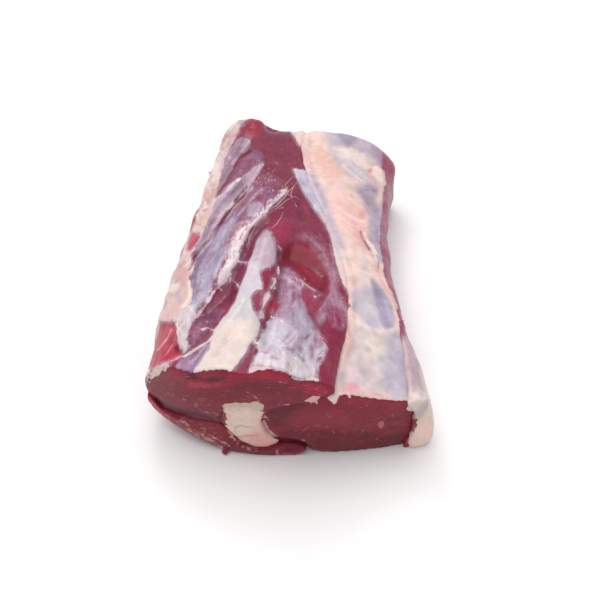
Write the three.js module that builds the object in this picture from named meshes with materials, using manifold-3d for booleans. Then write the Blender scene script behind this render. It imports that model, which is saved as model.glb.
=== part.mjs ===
// Raw beef entrecote: a boneless rib eye roast, lying on its outer side with the side that lay
// against the ribs facing up. The near end is a straight knife cut that shows the muscles and the
// fat between them; the far end is trimmed and rounded over.
//
// Millimetres, +Z up, +Y along the roast from the near cut to the far end, +X to the right as seen
// from the near cut. Each muscle and each thick layer of fat is a bundle: the outline that it shows
// at the near cut is carried along the roast and blended into the outline of the far end, where that
// differs, while rails set its left and right edges. Ridges, grooves and dents are laid on its top.

import * as THREE from "three";
import { mergeVertices } from "three/addons/utils/BufferGeometryUtils.js";
import Module from "manifold-3d";

const wasm = await Module();
wasm.setup();

// Driving dimensions.
const LENGTH = 290; // near cut to far end along the middle
const GAP = 0.3; // clear space between neighbouring pieces
const PAST_END = 12; // how far the room that a piece takes from its neighbours runs past its ends
const CUT_EDGE = 1.5; // rounding of a knife cut's rim
const FAR_ROUND = 14; // rounding of the whole far end
const MIDDLE_Z = 42; // the far end is drawn in towards this height
const HALF_WIDTH = 88; // half the width and half the height of the far end
const HALF_HEIGHT = 42;
const CUT_BULGE = 2.5; // how far the relaxed meat swells out of a cut in the middle
const FAR_BULGE = 1; // the same at the far end
const SWELL_RINGS = [0.9, 0.6, 0.3]; // shares of the outline that the rings inside a cut keep
const FAR_RINGS = [0.5, 0.8]; // where rings lie along the rounding of the far end
const FAR_LEFT_CORNER = 10; // how much further the far left corner reaches
const NEAR_LEFT_SLANT = 20; // how far the near cut falls back at its left and right ends
const NEAR_RIGHT_SLANT = 16;
const MIDDLE_X = -20; // where the near cut stands furthest forward
const HALF_WIDTH_LEFT = 80;
const HALF_WIDTH_RIGHT = 110;

// A value along the roast, from the near cut (0) to the far end (1), through evenly spaced values.
function rail(...values) {
  const curve = new THREE.SplineCurve(values.map((v, i) => new THREE.Vector2(i, v)));
  return (t) => curve.getPoint(THREE.MathUtils.clamp(t, 0, 1)).y;
}

// Distance in plan from a point to a line through points.
function distanceToPath(x, y, path) {
  let nearest = Infinity;
  for (let i = 1; i < path.length; i++) {
    const [ax, ay] = path[i - 1];
    const dx = path[i][0] - ax;
    const dy = path[i][1] - ay;
    const share = ((x - ax) * dx + (y - ay) * dy) / (dx * dx + dy * dy);
    const s = THREE.MathUtils.clamp(share, 0, 1);
    nearest = Math.min(nearest, Math.hypot(x - ax - s * dx, y - ay - s * dy));
  }
  return nearest;
}

// Relief laid on the top of a bundle, in plan. A ridge or a groove fades away from its line.
const fold = (height, width, ...path) => (x, y) =>
  height * Math.exp(-((distanceToPath(x, y, path) / width) ** 2));

// A pad has a flat top and a quick edge.
const pad = (height, width, ...path) => (x, y) =>
  height * (1 - THREE.MathUtils.smoothstep(distanceToPath(x, y, path), 0.55 * width, width));

// A dent is an oval with its long radius turned from +X by an angle in degrees.
function dent(depth, [cx, cy], [longRadius, shortRadius], degrees) {
  const turn = THREE.MathUtils.degToRad(degrees);
  return (x, y) => {
    const u = (x - cx) * Math.cos(turn) + (y - cy) * Math.sin(turn);
    const v = (y - cy) * Math.cos(turn) - (x - cx) * Math.sin(turn);
    const r = Math.hypot(u / longRadius, v / shortRadius);
    return -depth * (1 - THREE.MathUtils.smoothstep(r, 0.5, 1));
  };
}

// Soft unevenness of cut meat, the same on every build.
function unevenness(x, y, z) {
  return (
    0.5 * Math.sin(0.11 * y + 0.05 * x) +
    0.4 * Math.sin(0.23 * y - 0.09 * z + 1.3) +
    0.4 * Math.sin(0.17 * x + 0.13 * y + 0.08 * z + 2.1)
  );
}

// How far a point is moved along the roast, because the ends aren't square to it.
function endShift(x, t) {
  const left = NEAR_LEFT_SLANT * (Math.min(0, x - MIDDLE_X) / HALF_WIDTH_LEFT) ** 2;
  const right = NEAR_RIGHT_SLANT * (Math.max(0, x - MIDDLE_X) / HALF_WIDTH_RIGHT) ** 2;
  const corner = FAR_LEFT_CORNER * THREE.MathUtils.smoothstep(-x, 30, 75);
  return (left + right) * (1 - t) ** 2 + corner * t ** 3;
}

// How far the rounding of the far end draws the whole roast in, at a place along it.
function farInset(y) {
  const u = THREE.MathUtils.clamp(1 + (y - LENGTH) / FAR_ROUND, 0, 1);
  return FAR_ROUND * (1 - Math.sqrt(1 - u * u));
}

// The rings of a bundle: where each lies, how far it is drawn in, and what share of it is left.
function ringPlan({ from, to, farEdge = CUT_EDGE, along }) {
  const plan = SWELL_RINGS.map((share) => ({
    y: from - CUT_BULGE * (1 - share * share),
    inset: CUT_EDGE,
    share,
  })).reverse();
  plan.push({ y: from, inset: CUT_EDGE, share: 1 }, { y: from + CUT_EDGE, inset: 0, share: 1 });
  const straight = Math.min(to - farEdge, LENGTH - FAR_ROUND) - from - CUT_EDGE;
  const steps = Math.round(straight / along);
  for (let i = 1; i <= steps; i++)
    plan.push({ y: from + CUT_EDGE + (straight * i) / steps, inset: 0, share: 1 });
  for (const share of FAR_RINGS) {
    const y = LENGTH - FAR_ROUND * (1 - share);
    if (y < to - farEdge) plan.push({ y, inset: 0, share: 1 });
  }
  for (const degrees of [45, 90]) {
    const a = THREE.MathUtils.degToRad(degrees);
    plan.push({ y: to - farEdge * (1 - Math.sin(a)), inset: farEdge * (1 - Math.cos(a)), share: 1 });
  }
  for (const share of SWELL_RINGS)
    plan.push({ y: to + FAR_BULGE * (1 - share * share), inset: farEdge, share });
  return plan;
}

// Evenly spaced points on the smooth closed curve through an outline.
function smoothOutline(outline, count) {
  const curve = new THREE.CatmullRomCurve3(
    outline.map(([x, z]) => new THREE.Vector3(x, 0, z)),
    true,
    "centripetal",
  );
  return curve.getSpacedPoints(count).slice(0, count);
}

// The outline of a bundle at a place along the roast, fitted between its left and right rails.
function outlineAt({ near, far = near, left, right, round }, t) {
  const blended = near.map(([x, z], i) => [
    THREE.MathUtils.lerp(x, far[i][0], t),
    THREE.MathUtils.lerp(z, far[i][1], t),
  ]);
  const points = smoothOutline(blended, round);
  const low = Math.min(...points.map((p) => p.x));
  const high = Math.max(...points.map((p) => p.x));
  return points.map(
    (p) => new THREE.Vector2(THREE.MathUtils.mapLinear(p.x, low, high, left(t), right(t)), p.z),
  );
}

// The full rings of a bundle alone, not drawn in at its rims and carried on past both ends.
function roomPlan(bundle) {
  const full = ringPlan(bundle)
    .filter(({ share }) => share === 1)
    .map((ring) => ({ ...ring, inset: 0 }));
  const before = { ...full[0], y: bundle.from - PAST_END };
  const after = { ...full.at(-1), y: bundle.to + PAST_END };
  return [before, ...full, after];
}

// The closed skin of a bundle over the rings of a plan.
function skin(bundle, plan) {
  const { round: count, relief = [] } = bundle;
  const positions = [];
  for (const { y, inset, share } of plan) {
    const t = THREE.MathUtils.clamp(y / LENGTH, 0, 1);
    const ring = outlineAt(bundle, t);
    const centre = ring
      .reduce((sum, p) => sum.add(p), new THREE.Vector2())
      .divideScalar(count);
    ring.forEach((p, i) => {
      const along = ring[(i + 1) % count].clone().sub(ring[(i + count - 1) % count]).normalize();
      const facesUp = THREE.MathUtils.smoothstep(-along.x, 0.1, 0.6);
      const raise = facesUp * relief.reduce((sum, shape) => sum + shape(p.x, y), 0);
      const reach = p.distanceTo(centre);
      const drawnIn = Math.max(0.2 * reach, reach - inset + unevenness(p.x, y, p.y));
      const q = p.clone().sub(centre).multiplyScalar((share * drawnIn) / reach).add(centre);
      const x = q.x * (1 - farInset(y) / HALF_WIDTH);
      const z = MIDDLE_Z + (q.y + raise * share - MIDDLE_Z) * (1 - farInset(y) / HALF_HEIGHT);
      positions.push(x, y + endShift(q.x, t), Math.max(0, z));
    });
  }
  return closeRings(positions, plan.length, count);
}

// Joins rings of points into a closed geometry, with a point in the middle of each end.
function closeRings(positions, rings, count) {
  const index = [];
  const ends = [0, rings - 1].map((ring) => {
    const sum = [0, 0, 0];
    for (let i = 0; i < 3 * count; i++) sum[i % 3] += positions[3 * count * ring + i] / count;
    positions.push(...sum);
    return positions.length / 3 - 1;
  });
  const point = (i) => new THREE.Vector3().fromArray(positions, 3 * i);
  const span = (i, j) => point(i).distanceTo(point(j));
  for (let i = 0; i < count; i++) {
    const next = (i + 1) % count;
    const last = (rings - 1) * count;
    index.push(ends[0], i, next, ends[1], last + next, last + i);
    for (let ring = 0; ring + 1 < rings; ring++) {
      const [a, b] = [ring * count + i, ring * count + next];
      // Each quad is split along its shorter diagonal, so that folds across the grid stay smooth.
      const straight = span(a, b + count) < span(b, a + count);
      if (straight) index.push(a, b + count, b, a, a + count, b + count);
      else index.push(a, a + count, b, b, a + count, b + count);
    }
  }
  return new THREE.BufferGeometry()
    .setAttribute("position", new THREE.Float32BufferAttribute(positions, 3))
    .setIndex(index);
}

// The room that a bundle takes from its neighbours: its skin moved out by a gap, and carried on
// past both ends.
function room(bundle, gap = GAP) {
  const made = skin(bundle, roomPlan(bundle));
  made.computeVertexNormals();
  const { position, normal } = made.attributes;
  for (let i = 0; i < position.count; i++)
    position.setXYZ(
      i,
      position.getX(i) + gap * normal.getX(i),
      position.getY(i) + gap * normal.getY(i),
      position.getZ(i) + gap * normal.getZ(i),
    );
  made.deleteAttribute("normal");
  return solidOf(made);
}

function solidOf(geometry) {
  const merged = mergeVertices(geometry, 1e-3);
  return new wasm.Manifold(
    new wasm.Mesh({
      numProp: 3,
      vertProperties: merged.attributes.position.array,
      triVerts: new Uint32Array(merged.index.array),
    }),
  );
}

// The largest body of a solid: a cut can leave scraps.
function largest(solid) {
  return solid.decompose().sort((a, b) => b.volume() - a.volume())[0];
}

function geometryOf(solid) {
  const mesh = solid.getMesh();
  const geometry = new THREE.BufferGeometry()
    .setAttribute("position", new THREE.Float32BufferAttribute(mesh.vertProperties, 3))
    .setIndex(new THREE.Uint32BufferAttribute(mesh.triVerts, 1));
  geometry.computeVertexNormals();
  return geometry;
}

// The eye of the rib: the large muscle under the right side and the middle.
const eye = {
  from: 0,
  to: LENGTH,
  round: 36,
  along: 12,
  near: [
    [86, 30], [84, 44], [78, 52], [65, 56], [49, 61], [34, 65], [13, 61], [-5, 57], [-17, 50],
    [-20, 38], [-15, 22], [-8, 14], [6, 13], [16, 3], [33, -1], [60, -3], [78, -1], [85, 10],
  ],
  far: [
    [80, 36], [79, 48], [74, 58], [64, 67], [50, 74], [34, 79], [13, 81], [-5, 79], [-16, 70],
    [-21, 50], [-18, 32], [-10, 20], [4, 14], [16, 6], [33, -1], [56, -3], [72, -1], [79, 12],
  ],
  left: rail(-20, -24, -26, -24, -20),
  right: rail(85, 80, 70, 69, 77),
  relief: [
    fold(4, 20, [39, 58], [47, 105], [31, 156], [13, 217], [-3, 268]),
    fold(1.6, 5, [37, 62], [51, 59], [67, 67], [78, 81]),
    dent(3, [54, 88], [17, 12], 70),
    dent(3, [54, 206], [18, 12], 95),
  ],
};

// The thin muscle folded under the left side.
const flap = {
  from: -2,
  to: LENGTH - 6,
  round: 32,
  along: 18,
  near: [
    [13, 6], [4, 14], [-9, 12], [-20, 7], [-30, 12], [-40, 24], [-47, 32], [-68, 27], [-88, 23],
    [-95, 30], [-99, 36], [-102, 34], [-101, 25], [-93, 17], [-81, 12], [-66, 6], [-52, 0], [-30, -4],
    [0, -3],
  ],
  left: rail(-102, -101, -96, -92, -84),
  right: rail(13, 10, 8, 6, 4),
};

// The wedge of fat between the muscles.
const seam = {
  from: 0,
  to: LENGTH - 2,
  round: 16,
  along: 20,
  near: [
    [-10, 34], [-14, 47], [-20, 54], [-32, 54], [-43, 51], [-47, 40], [-46, 26], [-34, 8],
    [-20, 1], [-8, 12],
  ],
  left: rail(-47, -46, -45, -42, -39),
  right: rail(-8, -14, -16, -14, -8),
};

// The fat along the lower right edge.
const sideFat = {
  from: -4,
  to: 100,
  farEdge: 8,
  round: 18,
  along: 14,
  near: [
    [99, 20], [96, 36], [89, 52], [81, 56], [74, 48], [74, 24], [74, 6], [78, -2], [92, -3], [99, 5],
  ],
  left: rail(74, 66, 58, 54, 54),
  right: rail(99, 83, 73, 66, 60),
};

// The muscles over the left side, which lay against the ribs.
const cap = {
  from: 0,
  to: LENGTH,
  round: 58,
  along: 6.2,
  near: [
    [27, 68], [20, 79], [6, 84], [-6, 91], [-22, 92], [-38, 86], [-56, 79], [-74, 77], [-87, 69],
    [-96, 56], [-100, 42], [-97, 29], [-86, 21], [-68, 18], [-40, 16], [-10, 30], [10, 48],
  ],
  far: [
    [-4, 74], [-10, 80], [-20, 81], [-30, 80], [-40, 82], [-50, 86], [-60, 87], [-70, 85],
    [-80, 77], [-86, 63], [-89, 46], [-86, 32], [-78, 24], [-62, 14], [-42, 10], [-24, 24],
    [-12, 50],
  ],
  left: rail(-100, -102, -98, -92, -87),
  right: rail(27, 37, 24, 2, -4),
  relief: [
    fold(-4, 7, [-55, 253], [-64, 230], [-76, 194], [-82, 165], [-89, 130]),
    fold(-4, 7, [-55, 190], [-63, 162], [-71, 141], [-79, 122], [-86, 109]),
    fold(3, 8, [-16, 187], [-33, 154], [-47, 129], [-53, 107], [-56, 88]),
    fold(-5, 8, [-34, 137], [-39, 114], [-44, 87], [-51, 66], [-61, 53]),
    pad(3.5, 15, [-24, 128], [-29, 100], [-32, 72], [-36, 45], [-42, 26], [-48, 9]),
    fold(-4, 6, [-12, 113], [-13, 88], [-14, 62], [-17, 39], [-21, 16], [-26, 3]),
    dent(5, [4, 100], [30, 15], -55),
  ],
};

const RED = { color: 0x7a2632, roughness: 0.35, metalness: 0 };
const DARK_RED = { color: 0x64202b, roughness: 0.35, metalness: 0 };
const FAT = { color: 0xe8d3c6, roughness: 0.45, metalness: 0 };

// A bundle cut by its neighbours' rooms. Its own room trims what its end rings leave outside a
// hollow outline.
function bodyOf(bundle, ...neighbours) {
  const whole = solidOf(skin(bundle, ringPlan(bundle))).intersect(room(bundle, GAP / 2));
  return neighbours.reduce((solid, other) => solid.subtract(other), whole);
}

const [eyeRoom, flapRoom, seamRoom, sideFatRoom] = [eye, flap, seam, sideFat].map((bundle) => room(bundle));
const pieces = {
  eye_muscle: [bodyOf(eye), DARK_RED],
  flap_muscle: [bodyOf(flap, eyeRoom), RED],
  fat_seam: [bodyOf(seam, eyeRoom, flapRoom), FAT],
  side_fat: [bodyOf(sideFat, eyeRoom), FAT],
  cap_muscle: [bodyOf(cap, eyeRoom, flapRoom, seamRoom, sideFatRoom), RED],
};

const entrecote = new THREE.Group();
for (const [name, [solid, finish]] of Object.entries(pieces)) {
  const mesh = new THREE.Mesh(
    geometryOf(largest(solid)),
    new THREE.MeshStandardMaterial(finish),
  );
  mesh.name = name;
  entrecote.add(mesh);
}

// The origin is in the middle of the part in plan, at the surface that it lies on.
const middle = new THREE.Box3().setFromObject(entrecote).getCenter(new THREE.Vector3());
entrecote.position.set(-middle.x, -middle.y, 0);

export default entrecote;
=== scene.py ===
"""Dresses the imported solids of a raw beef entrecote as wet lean, fat and silverskin.

Each muscle is a finely meshed copy of its solid. Lean, film and fat are laid on it as outlined
areas and lines, and each of them raises or sinks the surface where it lies.
"""

from __future__ import annotations

import logging
import math
from dataclasses import dataclass
from enum import Enum

import bmesh
import bpy
import numpy as np
from mathutils import Matrix, Vector
from mathutils.bvhtree import BVHTree

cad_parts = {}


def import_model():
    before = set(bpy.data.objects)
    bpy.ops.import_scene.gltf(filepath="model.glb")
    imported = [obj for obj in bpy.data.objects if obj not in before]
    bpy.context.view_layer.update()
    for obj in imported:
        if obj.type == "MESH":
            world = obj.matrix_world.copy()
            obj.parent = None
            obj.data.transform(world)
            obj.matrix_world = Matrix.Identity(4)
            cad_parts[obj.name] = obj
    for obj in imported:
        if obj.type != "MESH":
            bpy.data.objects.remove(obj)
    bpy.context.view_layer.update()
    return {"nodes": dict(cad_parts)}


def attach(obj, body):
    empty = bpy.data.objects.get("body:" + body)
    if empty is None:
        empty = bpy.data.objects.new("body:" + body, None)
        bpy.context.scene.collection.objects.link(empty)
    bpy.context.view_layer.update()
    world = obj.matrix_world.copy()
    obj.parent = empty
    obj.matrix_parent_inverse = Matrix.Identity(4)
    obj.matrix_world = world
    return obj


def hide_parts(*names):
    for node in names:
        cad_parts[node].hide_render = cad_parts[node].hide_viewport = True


Socket = bpy.types.NodeSocket
LOG = logging.getLogger("entrecote")
BODY = "root"
MM = 0.001
MERGE_DISTANCE = 0.00002
TINY = 1e-9
HUGE = 1e9

# The hash behind every noise, and a turn that keeps its cells off the axes
CELL_TURN = np.array([[0.80, 0.36, -0.48], [-0.60, 0.48, -0.64], [0.00, 0.80, 0.60]])
CELL_PRIMES = np.array([73856093, 19349663, 83492791], dtype=np.int64)
SEED_PRIME = 2654435761
HASH_ROUNDS = ((15, 2246822519), (13, 3266489917), (16, 1))
HASH_BITS = 0xFFFFFFFF
VALUE_BITS = 0xFFFF
OCTAVES = 3
OCTAVE_SEED = 31
CLOUD_SCALE = 1.4
SMALLEST_GRAIN = 0.0031

# How a mark's edge wanders and its lift ends, in metres for the noises and pixels for the rest
RAG_SIZE = 0.0042
FINE_RAG_SIZE = 0.0034
FINE_RAG = 0.6
FINE_RAG_SEED = 3
LUMP_SEED = 7
LIFT_LUMPS = 0.45
LIFT_SOFT = 6.0
LIFT_SHARE = 0.45
CRISP_LIFT_SOFT = 1.6
TINT_MARGIN = 1.6
REACH_MARGIN = 7.0
LEAST_GATE = 0.01

# Where a vertex counts as lying on a cut or as seen: bands of its normal, its place and its facing
NEAR_CUT_TURN = (0.50, 0.78)
FAR_CUT_TURN = (0.62, 0.86)
CUT_PLACE = (0.105, 0.125)
SEEN = (-0.12, 0.12)

# How squarely a vertex is seen, worked out from how it faces the camera
SQUARE_GAIN = 2.0
SQUARE_POWER = 1.5

# How the rims of the cut are found and kept sharp, in rounds of smoothing
RIM_TURN = (0.45, 0.75)
RIM_SPREAD = 4
RIM_GAIN = 5.0
RIM_BLUR = 3
RIM_SHARPNESS = 0.8

# The film round patches of fat
EDGE_FILM = 0.62
EDGE_FILM_REACH = 5
EDGE_FILM_GAIN = 3.0

# The relief of the tissues, in millimetres, and how much calmer it is on a cut or under film
BUNDLE_HEIGHT = 0.2
FILM_BUNDLE_HEIGHT = 0.22
CUT_CALM = 0.8
FAT_CUT_CALM = 0.6
FILM_CALM = 0.7
RELIEF_BLUR = 3
RELIEF_SETTLING = 0.6

# The shade in hollows
HOLLOW_NEAR = 3
HOLLOW_FAR = 10
HOLLOW_SHADE = 1.2
HOLLOW_RANGE = (-0.08, 0.30)

# Where the cap's fibres fan out from, and how far off a metre across them stays a metre
FAN_APEX = (-0.0335, 0.2)
FAN_REACH = 0.18

# Colours that serve more than once or in every piece
MAUVE_LEAN = "#94425c"
MARBLING = "#bb7884"


class Tissue(Enum):
    """What a mark is made of."""

    LEAN = "lean"
    FAT = "fat"
    FILM = "film"
    SHREDS = "shreds"


class Face(Enum):
    """The faces that are marked apart from each other."""

    OUTSIDE = "outside"
    CUT = "cut"


def linear(code: str) -> np.ndarray:
    """The linear colour of a hex code, by the sRGB curve.

    Args:
        code: Six hex digits after a hash sign.

    Returns:
        Three numbers between 0 and 1.
    """
    shown = np.array([int(code[i : i + 2], 16) for i in (1, 3, 5)]) / 255.0
    return np.where(shown <= 0.04045, shown / 12.92, ((shown + 0.055) / 1.055) ** 2.4)


def read_points(text: str) -> np.ndarray:
    """The pixel points written in a string of pairs such as "10,20 30,40"."""
    return np.array([[float(value) for value in pair.split(",")] for pair in text.split()])


def smoothstep(value: np.ndarray, low: float, high: float) -> np.ndarray:
    """A soft step from 0 at low to 1 at high."""
    share = np.clip((value - low) / (high - low), 0.0, 1.0)
    return share * share * (3.0 - 2.0 * share)


def grain(points: np.ndarray, size: float | tuple[float, float, float], seed: int) -> np.ndarray:
    """Smooth random values over space.

    Args:
        points: Places in metres, one a row.
        size: Size of the grain in metres, one number or one for each axis.
        seed: Picks the pattern.

    Returns:
        One value between -1 and 1 for each point.
    """
    scaled = points / np.asarray(size)
    if np.ndim(size) == 0:
        scaled = scaled @ CELL_TURN
    cell = np.floor(scaled).astype(np.int64)
    part = scaled - cell
    part = part * part * (3.0 - 2.0 * part)
    total = np.zeros(len(points))
    for up, over, along in np.ndindex(2, 2, 2):
        step = np.array([along, over, up])
        key = ((cell + step) @ CELL_PRIMES + seed * SEED_PRIME) & HASH_BITS
        for shift, factor in HASH_ROUNDS:
            key = ((key ^ (key >> shift)) * factor) & HASH_BITS
        weight = np.prod(np.where(step == 1, part, 1.0 - part), axis=1)
        total += weight * ((key & VALUE_BITS) / (VALUE_BITS / 2) - 1.0)
    return total


def cloud(points: np.ndarray, size: float, seed: int) -> np.ndarray:
    """Grain of several sizes added up, each half the size and strength of the one before.

    Args:
        points: Places in metres, one a row.
        size: Size of the coarsest grain in metres.
        seed: Picks the pattern.

    Returns:
        One value for each point.
    """
    total = np.zeros(len(points))
    for octave in range(OCTAVES):
        if octave and size / 2**octave < SMALLEST_GRAIN:
            break
        total += grain(points, size / 2**octave, seed + OCTAVE_SEED * octave) / 2**octave
    return total / CLOUD_SCALE


@dataclass(frozen=True)
class Noise:
    """A noise that a piece is painted or shaped with.

    Attributes:
        step: Added to the piece's seed.
        size: Its size in metres, one number or one for each axis.
        strength: Its largest value.
        cloudy: It has finer grains on top of the coarse one.
    """

    step: int
    size: float | tuple[float, float, float]
    strength: float = 1.0
    cloudy: bool = False

    def at(self, points: np.ndarray, seed: int) -> np.ndarray:
        """Its value at each of some places, for a piece's seed."""
        values = cloud if self.cloudy else grain
        return self.strength * values(points, self.size, seed + self.step)


def placed(name: str, data: bpy.types.ID) -> bpy.types.Object:
    """A new object in the scene that shows some data.

    Args:
        name: The object's name.
        data: A mesh, a curve, a light or a camera.

    Returns:
        The object.
    """
    made = bpy.data.objects.new(name, data)
    bpy.context.scene.collection.objects.link(made)
    return made


def evaluated(helper: bpy.types.Object) -> bpy.types.Mesh:
    """The mesh that an object ends as, in place of the object.

    Args:
        helper: An object with modifiers or a bevelled curve. It is removed.

    Returns:
        A new mesh.
    """
    graph = bpy.context.evaluated_depsgraph_get()
    mesh = bpy.data.meshes.new_from_object(helper.evaluated_get(graph))
    bpy.data.objects.remove(helper)
    return mesh


@dataclass(frozen=True)
class PhotoCamera:
    """The camera at the photograph's viewing angle.

    Attributes:
        place: Its position in metres.
        heading: Its turn away from +Y, to the left, in degrees.
        elevation: How far it looks down, in degrees.
        focal: Its focal length in pixels of the picture.
        side: The side of the picture in pixels.
        sensor: The sensor's width in millimetres.
        clip: The nearest and farthest distance it shows, in metres.
    """

    place: tuple[float, float, float] = (0.027335, -0.410867, 0.4277)
    heading: float = 4.0
    elevation: float = 46.0
    focal: float = 700.0
    side: float = 600.0
    sensor: float = 36.0
    clip: tuple[float, float] = (0.01, 20.0)

    def axes(self) -> np.ndarray:
        """The camera's own directions.

        Returns:
            Rows of the right, up and forward directions.
        """
        turn, tilt = math.radians(self.heading), math.radians(self.elevation)
        level = math.cos(tilt)
        forward = np.array([-math.sin(turn) * level, math.cos(turn) * level, -math.sin(tilt)])
        right = np.array([math.cos(turn), math.sin(turn), 0.0])
        return np.array([right, np.cross(right, forward), forward])

    def pixels(self, points: np.ndarray) -> np.ndarray:
        """Where points of the frame fall in the picture.

        Args:
            points: Places in metres, one a row.

        Returns:
            Their pixel columns and rows.
        """
        right, up, ahead = ((points - np.array(self.place)) @ self.axes().T).T
        scale, middle = self.focal / ahead, self.side / 2
        return np.stack([middle + scale * right, middle - scale * up], 1)

    def facing(self, points: np.ndarray, normals: np.ndarray) -> np.ndarray:
        """How squarely each point's normal looks at the camera.

        Args:
            points: Places in metres, one a row.
            normals: Their normals.

        Returns:
            One value from -1 to 1 for each point.
        """
        towards = np.array(self.place) - points
        towards /= np.linalg.norm(towards, axis=1)[:, None]
        return np.sum(towards * normals, axis=1)

    def ray(self, column: float, row: float) -> Vector:
        """The direction in which a pixel looks.

        Args:
            column: The pixel's column.
            row: The pixel's row.

        Returns:
            A direction of length 1.
        """
        half = self.side / 2
        flat = np.array([(column - half) / self.focal, (half - row) / self.focal, 1.0])
        return Vector(self.axes().T @ flat).normalized()

    def build(self) -> None:
        """Makes the camera object and makes it the scene's camera."""
        data = bpy.data.cameras.new("photo_camera")
        data.sensor_width = self.sensor
        data.lens = self.focal / self.side * self.sensor
        data.clip_start, data.clip_end = self.clip
        camera = placed("photo_camera", data)
        right, up, forward = self.axes()
        turn = Matrix((right, up, -forward)).transposed().to_4x4()
        camera.matrix_world = Matrix.Translation(self.place) @ turn
        bpy.context.scene.camera = camera


@dataclass(frozen=True)
class Mark:
    """An area or a line of one tissue, laid where the photograph shows it. A few of them are
    painted shadows or painted highlights in a tissue's colour.

    Attributes:
        tissue: What it is made of.
        colour: Its colour.
        outline: Its points, in pixels of the picture.
        width: A line's width in pixels, or 0 for an area.
        soft: Width of its edge in pixels.
        ragged: How far its edge wanders, in pixels.
        opacity: How much it covers.
        lift: How far it stands proud, in millimetres; a groove has a negative one.
        tint_only: It recolours its tissue and covers nothing.
        crisp: Its lift ends in a step and not in a slope.
    """

    tissue: Tissue
    colour: str
    outline: str
    width: float = 0.0
    soft: float = 2.5
    ragged: float = 1.0
    opacity: float = 1.0
    lift: float = 0.0
    tint_only: bool = False
    crisp: bool = False

    def points(self) -> np.ndarray:
        """Its points with each corner cut once.

        Returns:
            Places in pixels, one a row.
        """
        points = read_points(self.outline)
        if self.width > 0:
            inner = (points[:-1] * 3 + points[1:]) / 4, (points[:-1] + points[1:] * 3) / 4
            cut = np.stack(inner, 1).reshape(-1, 2)
            return np.vstack([points[:1], cut, points[-1:]])
        after = np.roll(points, -1, axis=0)
        return np.stack([(points * 3 + after) / 4, (points + after * 3) / 4], 1).reshape(-1, 2)

    def distance(self, pixels: np.ndarray, points: np.ndarray) -> np.ndarray:
        """Distance from its edge, negative inside.

        Args:
            pixels: The places asked about.
            points: The mark's own points.

        Returns:
            One distance in pixels for each place.
        """
        closed = self.width <= 0
        ends = np.roll(points, -1, axis=0) if closed else points[1:]
        starts = points if closed else points[:-1]
        nearest = np.full(len(pixels), HUGE)
        inside = np.zeros(len(pixels), bool)
        for start, end in zip(starts, ends):
            along = end - start
            reach = np.clip((pixels - start) @ along / max(along @ along, TINY), 0, 1)
            gap = pixels - start - reach[:, None] * along
            nearest = np.minimum(nearest, np.einsum("ij,ij->i", gap, gap))
            if closed:
                spans = (start[1] > pixels[:, 1]) != (end[1] > pixels[:, 1])
                rise = along[1] if abs(along[1]) > TINY else TINY
                crossing = start[0] + (pixels[:, 1] - start[1]) * along[0] / rise
                inside ^= spans & (pixels[:, 0] < crossing)
        nearest = np.sqrt(nearest)
        return np.where(inside, -nearest, nearest) if closed else nearest - self.width / 2


def area(tissue: Tissue, colour: str, outline: str, **rest: float) -> Mark:
    """An area of tissue inside an outline."""
    return Mark(tissue, colour, outline, **rest)


def line(tissue: Tissue, colour: str, width: float, outline: str, **rest: float) -> Mark:
    """A line of tissue along a path."""
    return Mark(tissue, colour, outline, width=width, **rest)


def lines(tissue: Tissue, colour: str, width: float, paths: str, **rest: float) -> tuple[Mark, ...]:
    """Lines of tissue along several paths, parted by upright strokes."""
    return tuple(line(tissue, colour, width, path, **rest) for path in paths.split("|"))


def creases_and_glints(
    tissue: Tissue, colour: str, width: float, paths: str, opacity: float
) -> tuple[Mark, ...]:
    """Short lines along several paths, raised on fat and sunken elsewhere: creases, and in a few
    places painted highlights of wet glints.
    """
    lift = 0.5 if tissue is Tissue.FAT else -0.3
    return lines(tissue, colour, width, paths, opacity=opacity, lift=lift)


def swell(width: float, paths: str, lift: float, soft: float = 2.5) -> tuple[Mark, ...]:
    """Lines along which the surface rises or sinks and keeps its tissue."""
    return lines(Tissue.FAT, "#e0c6bf", width, paths, soft=soft, opacity=0.0, lift=lift)


def wash(
    tissue: Tissue, colour: str, outline: str, soft: float = 8.0, opacity: float = 1.0
) -> Mark:
    """A soft change of a tissue's colour inside an outline."""
    return Mark(tissue, colour, outline, soft=soft, opacity=opacity, tint_only=True)


LEAN, FAT, FILM, SHREDS = Tissue.LEAN, Tissue.FAT, Tissue.FILM, Tissue.SHREDS

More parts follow.
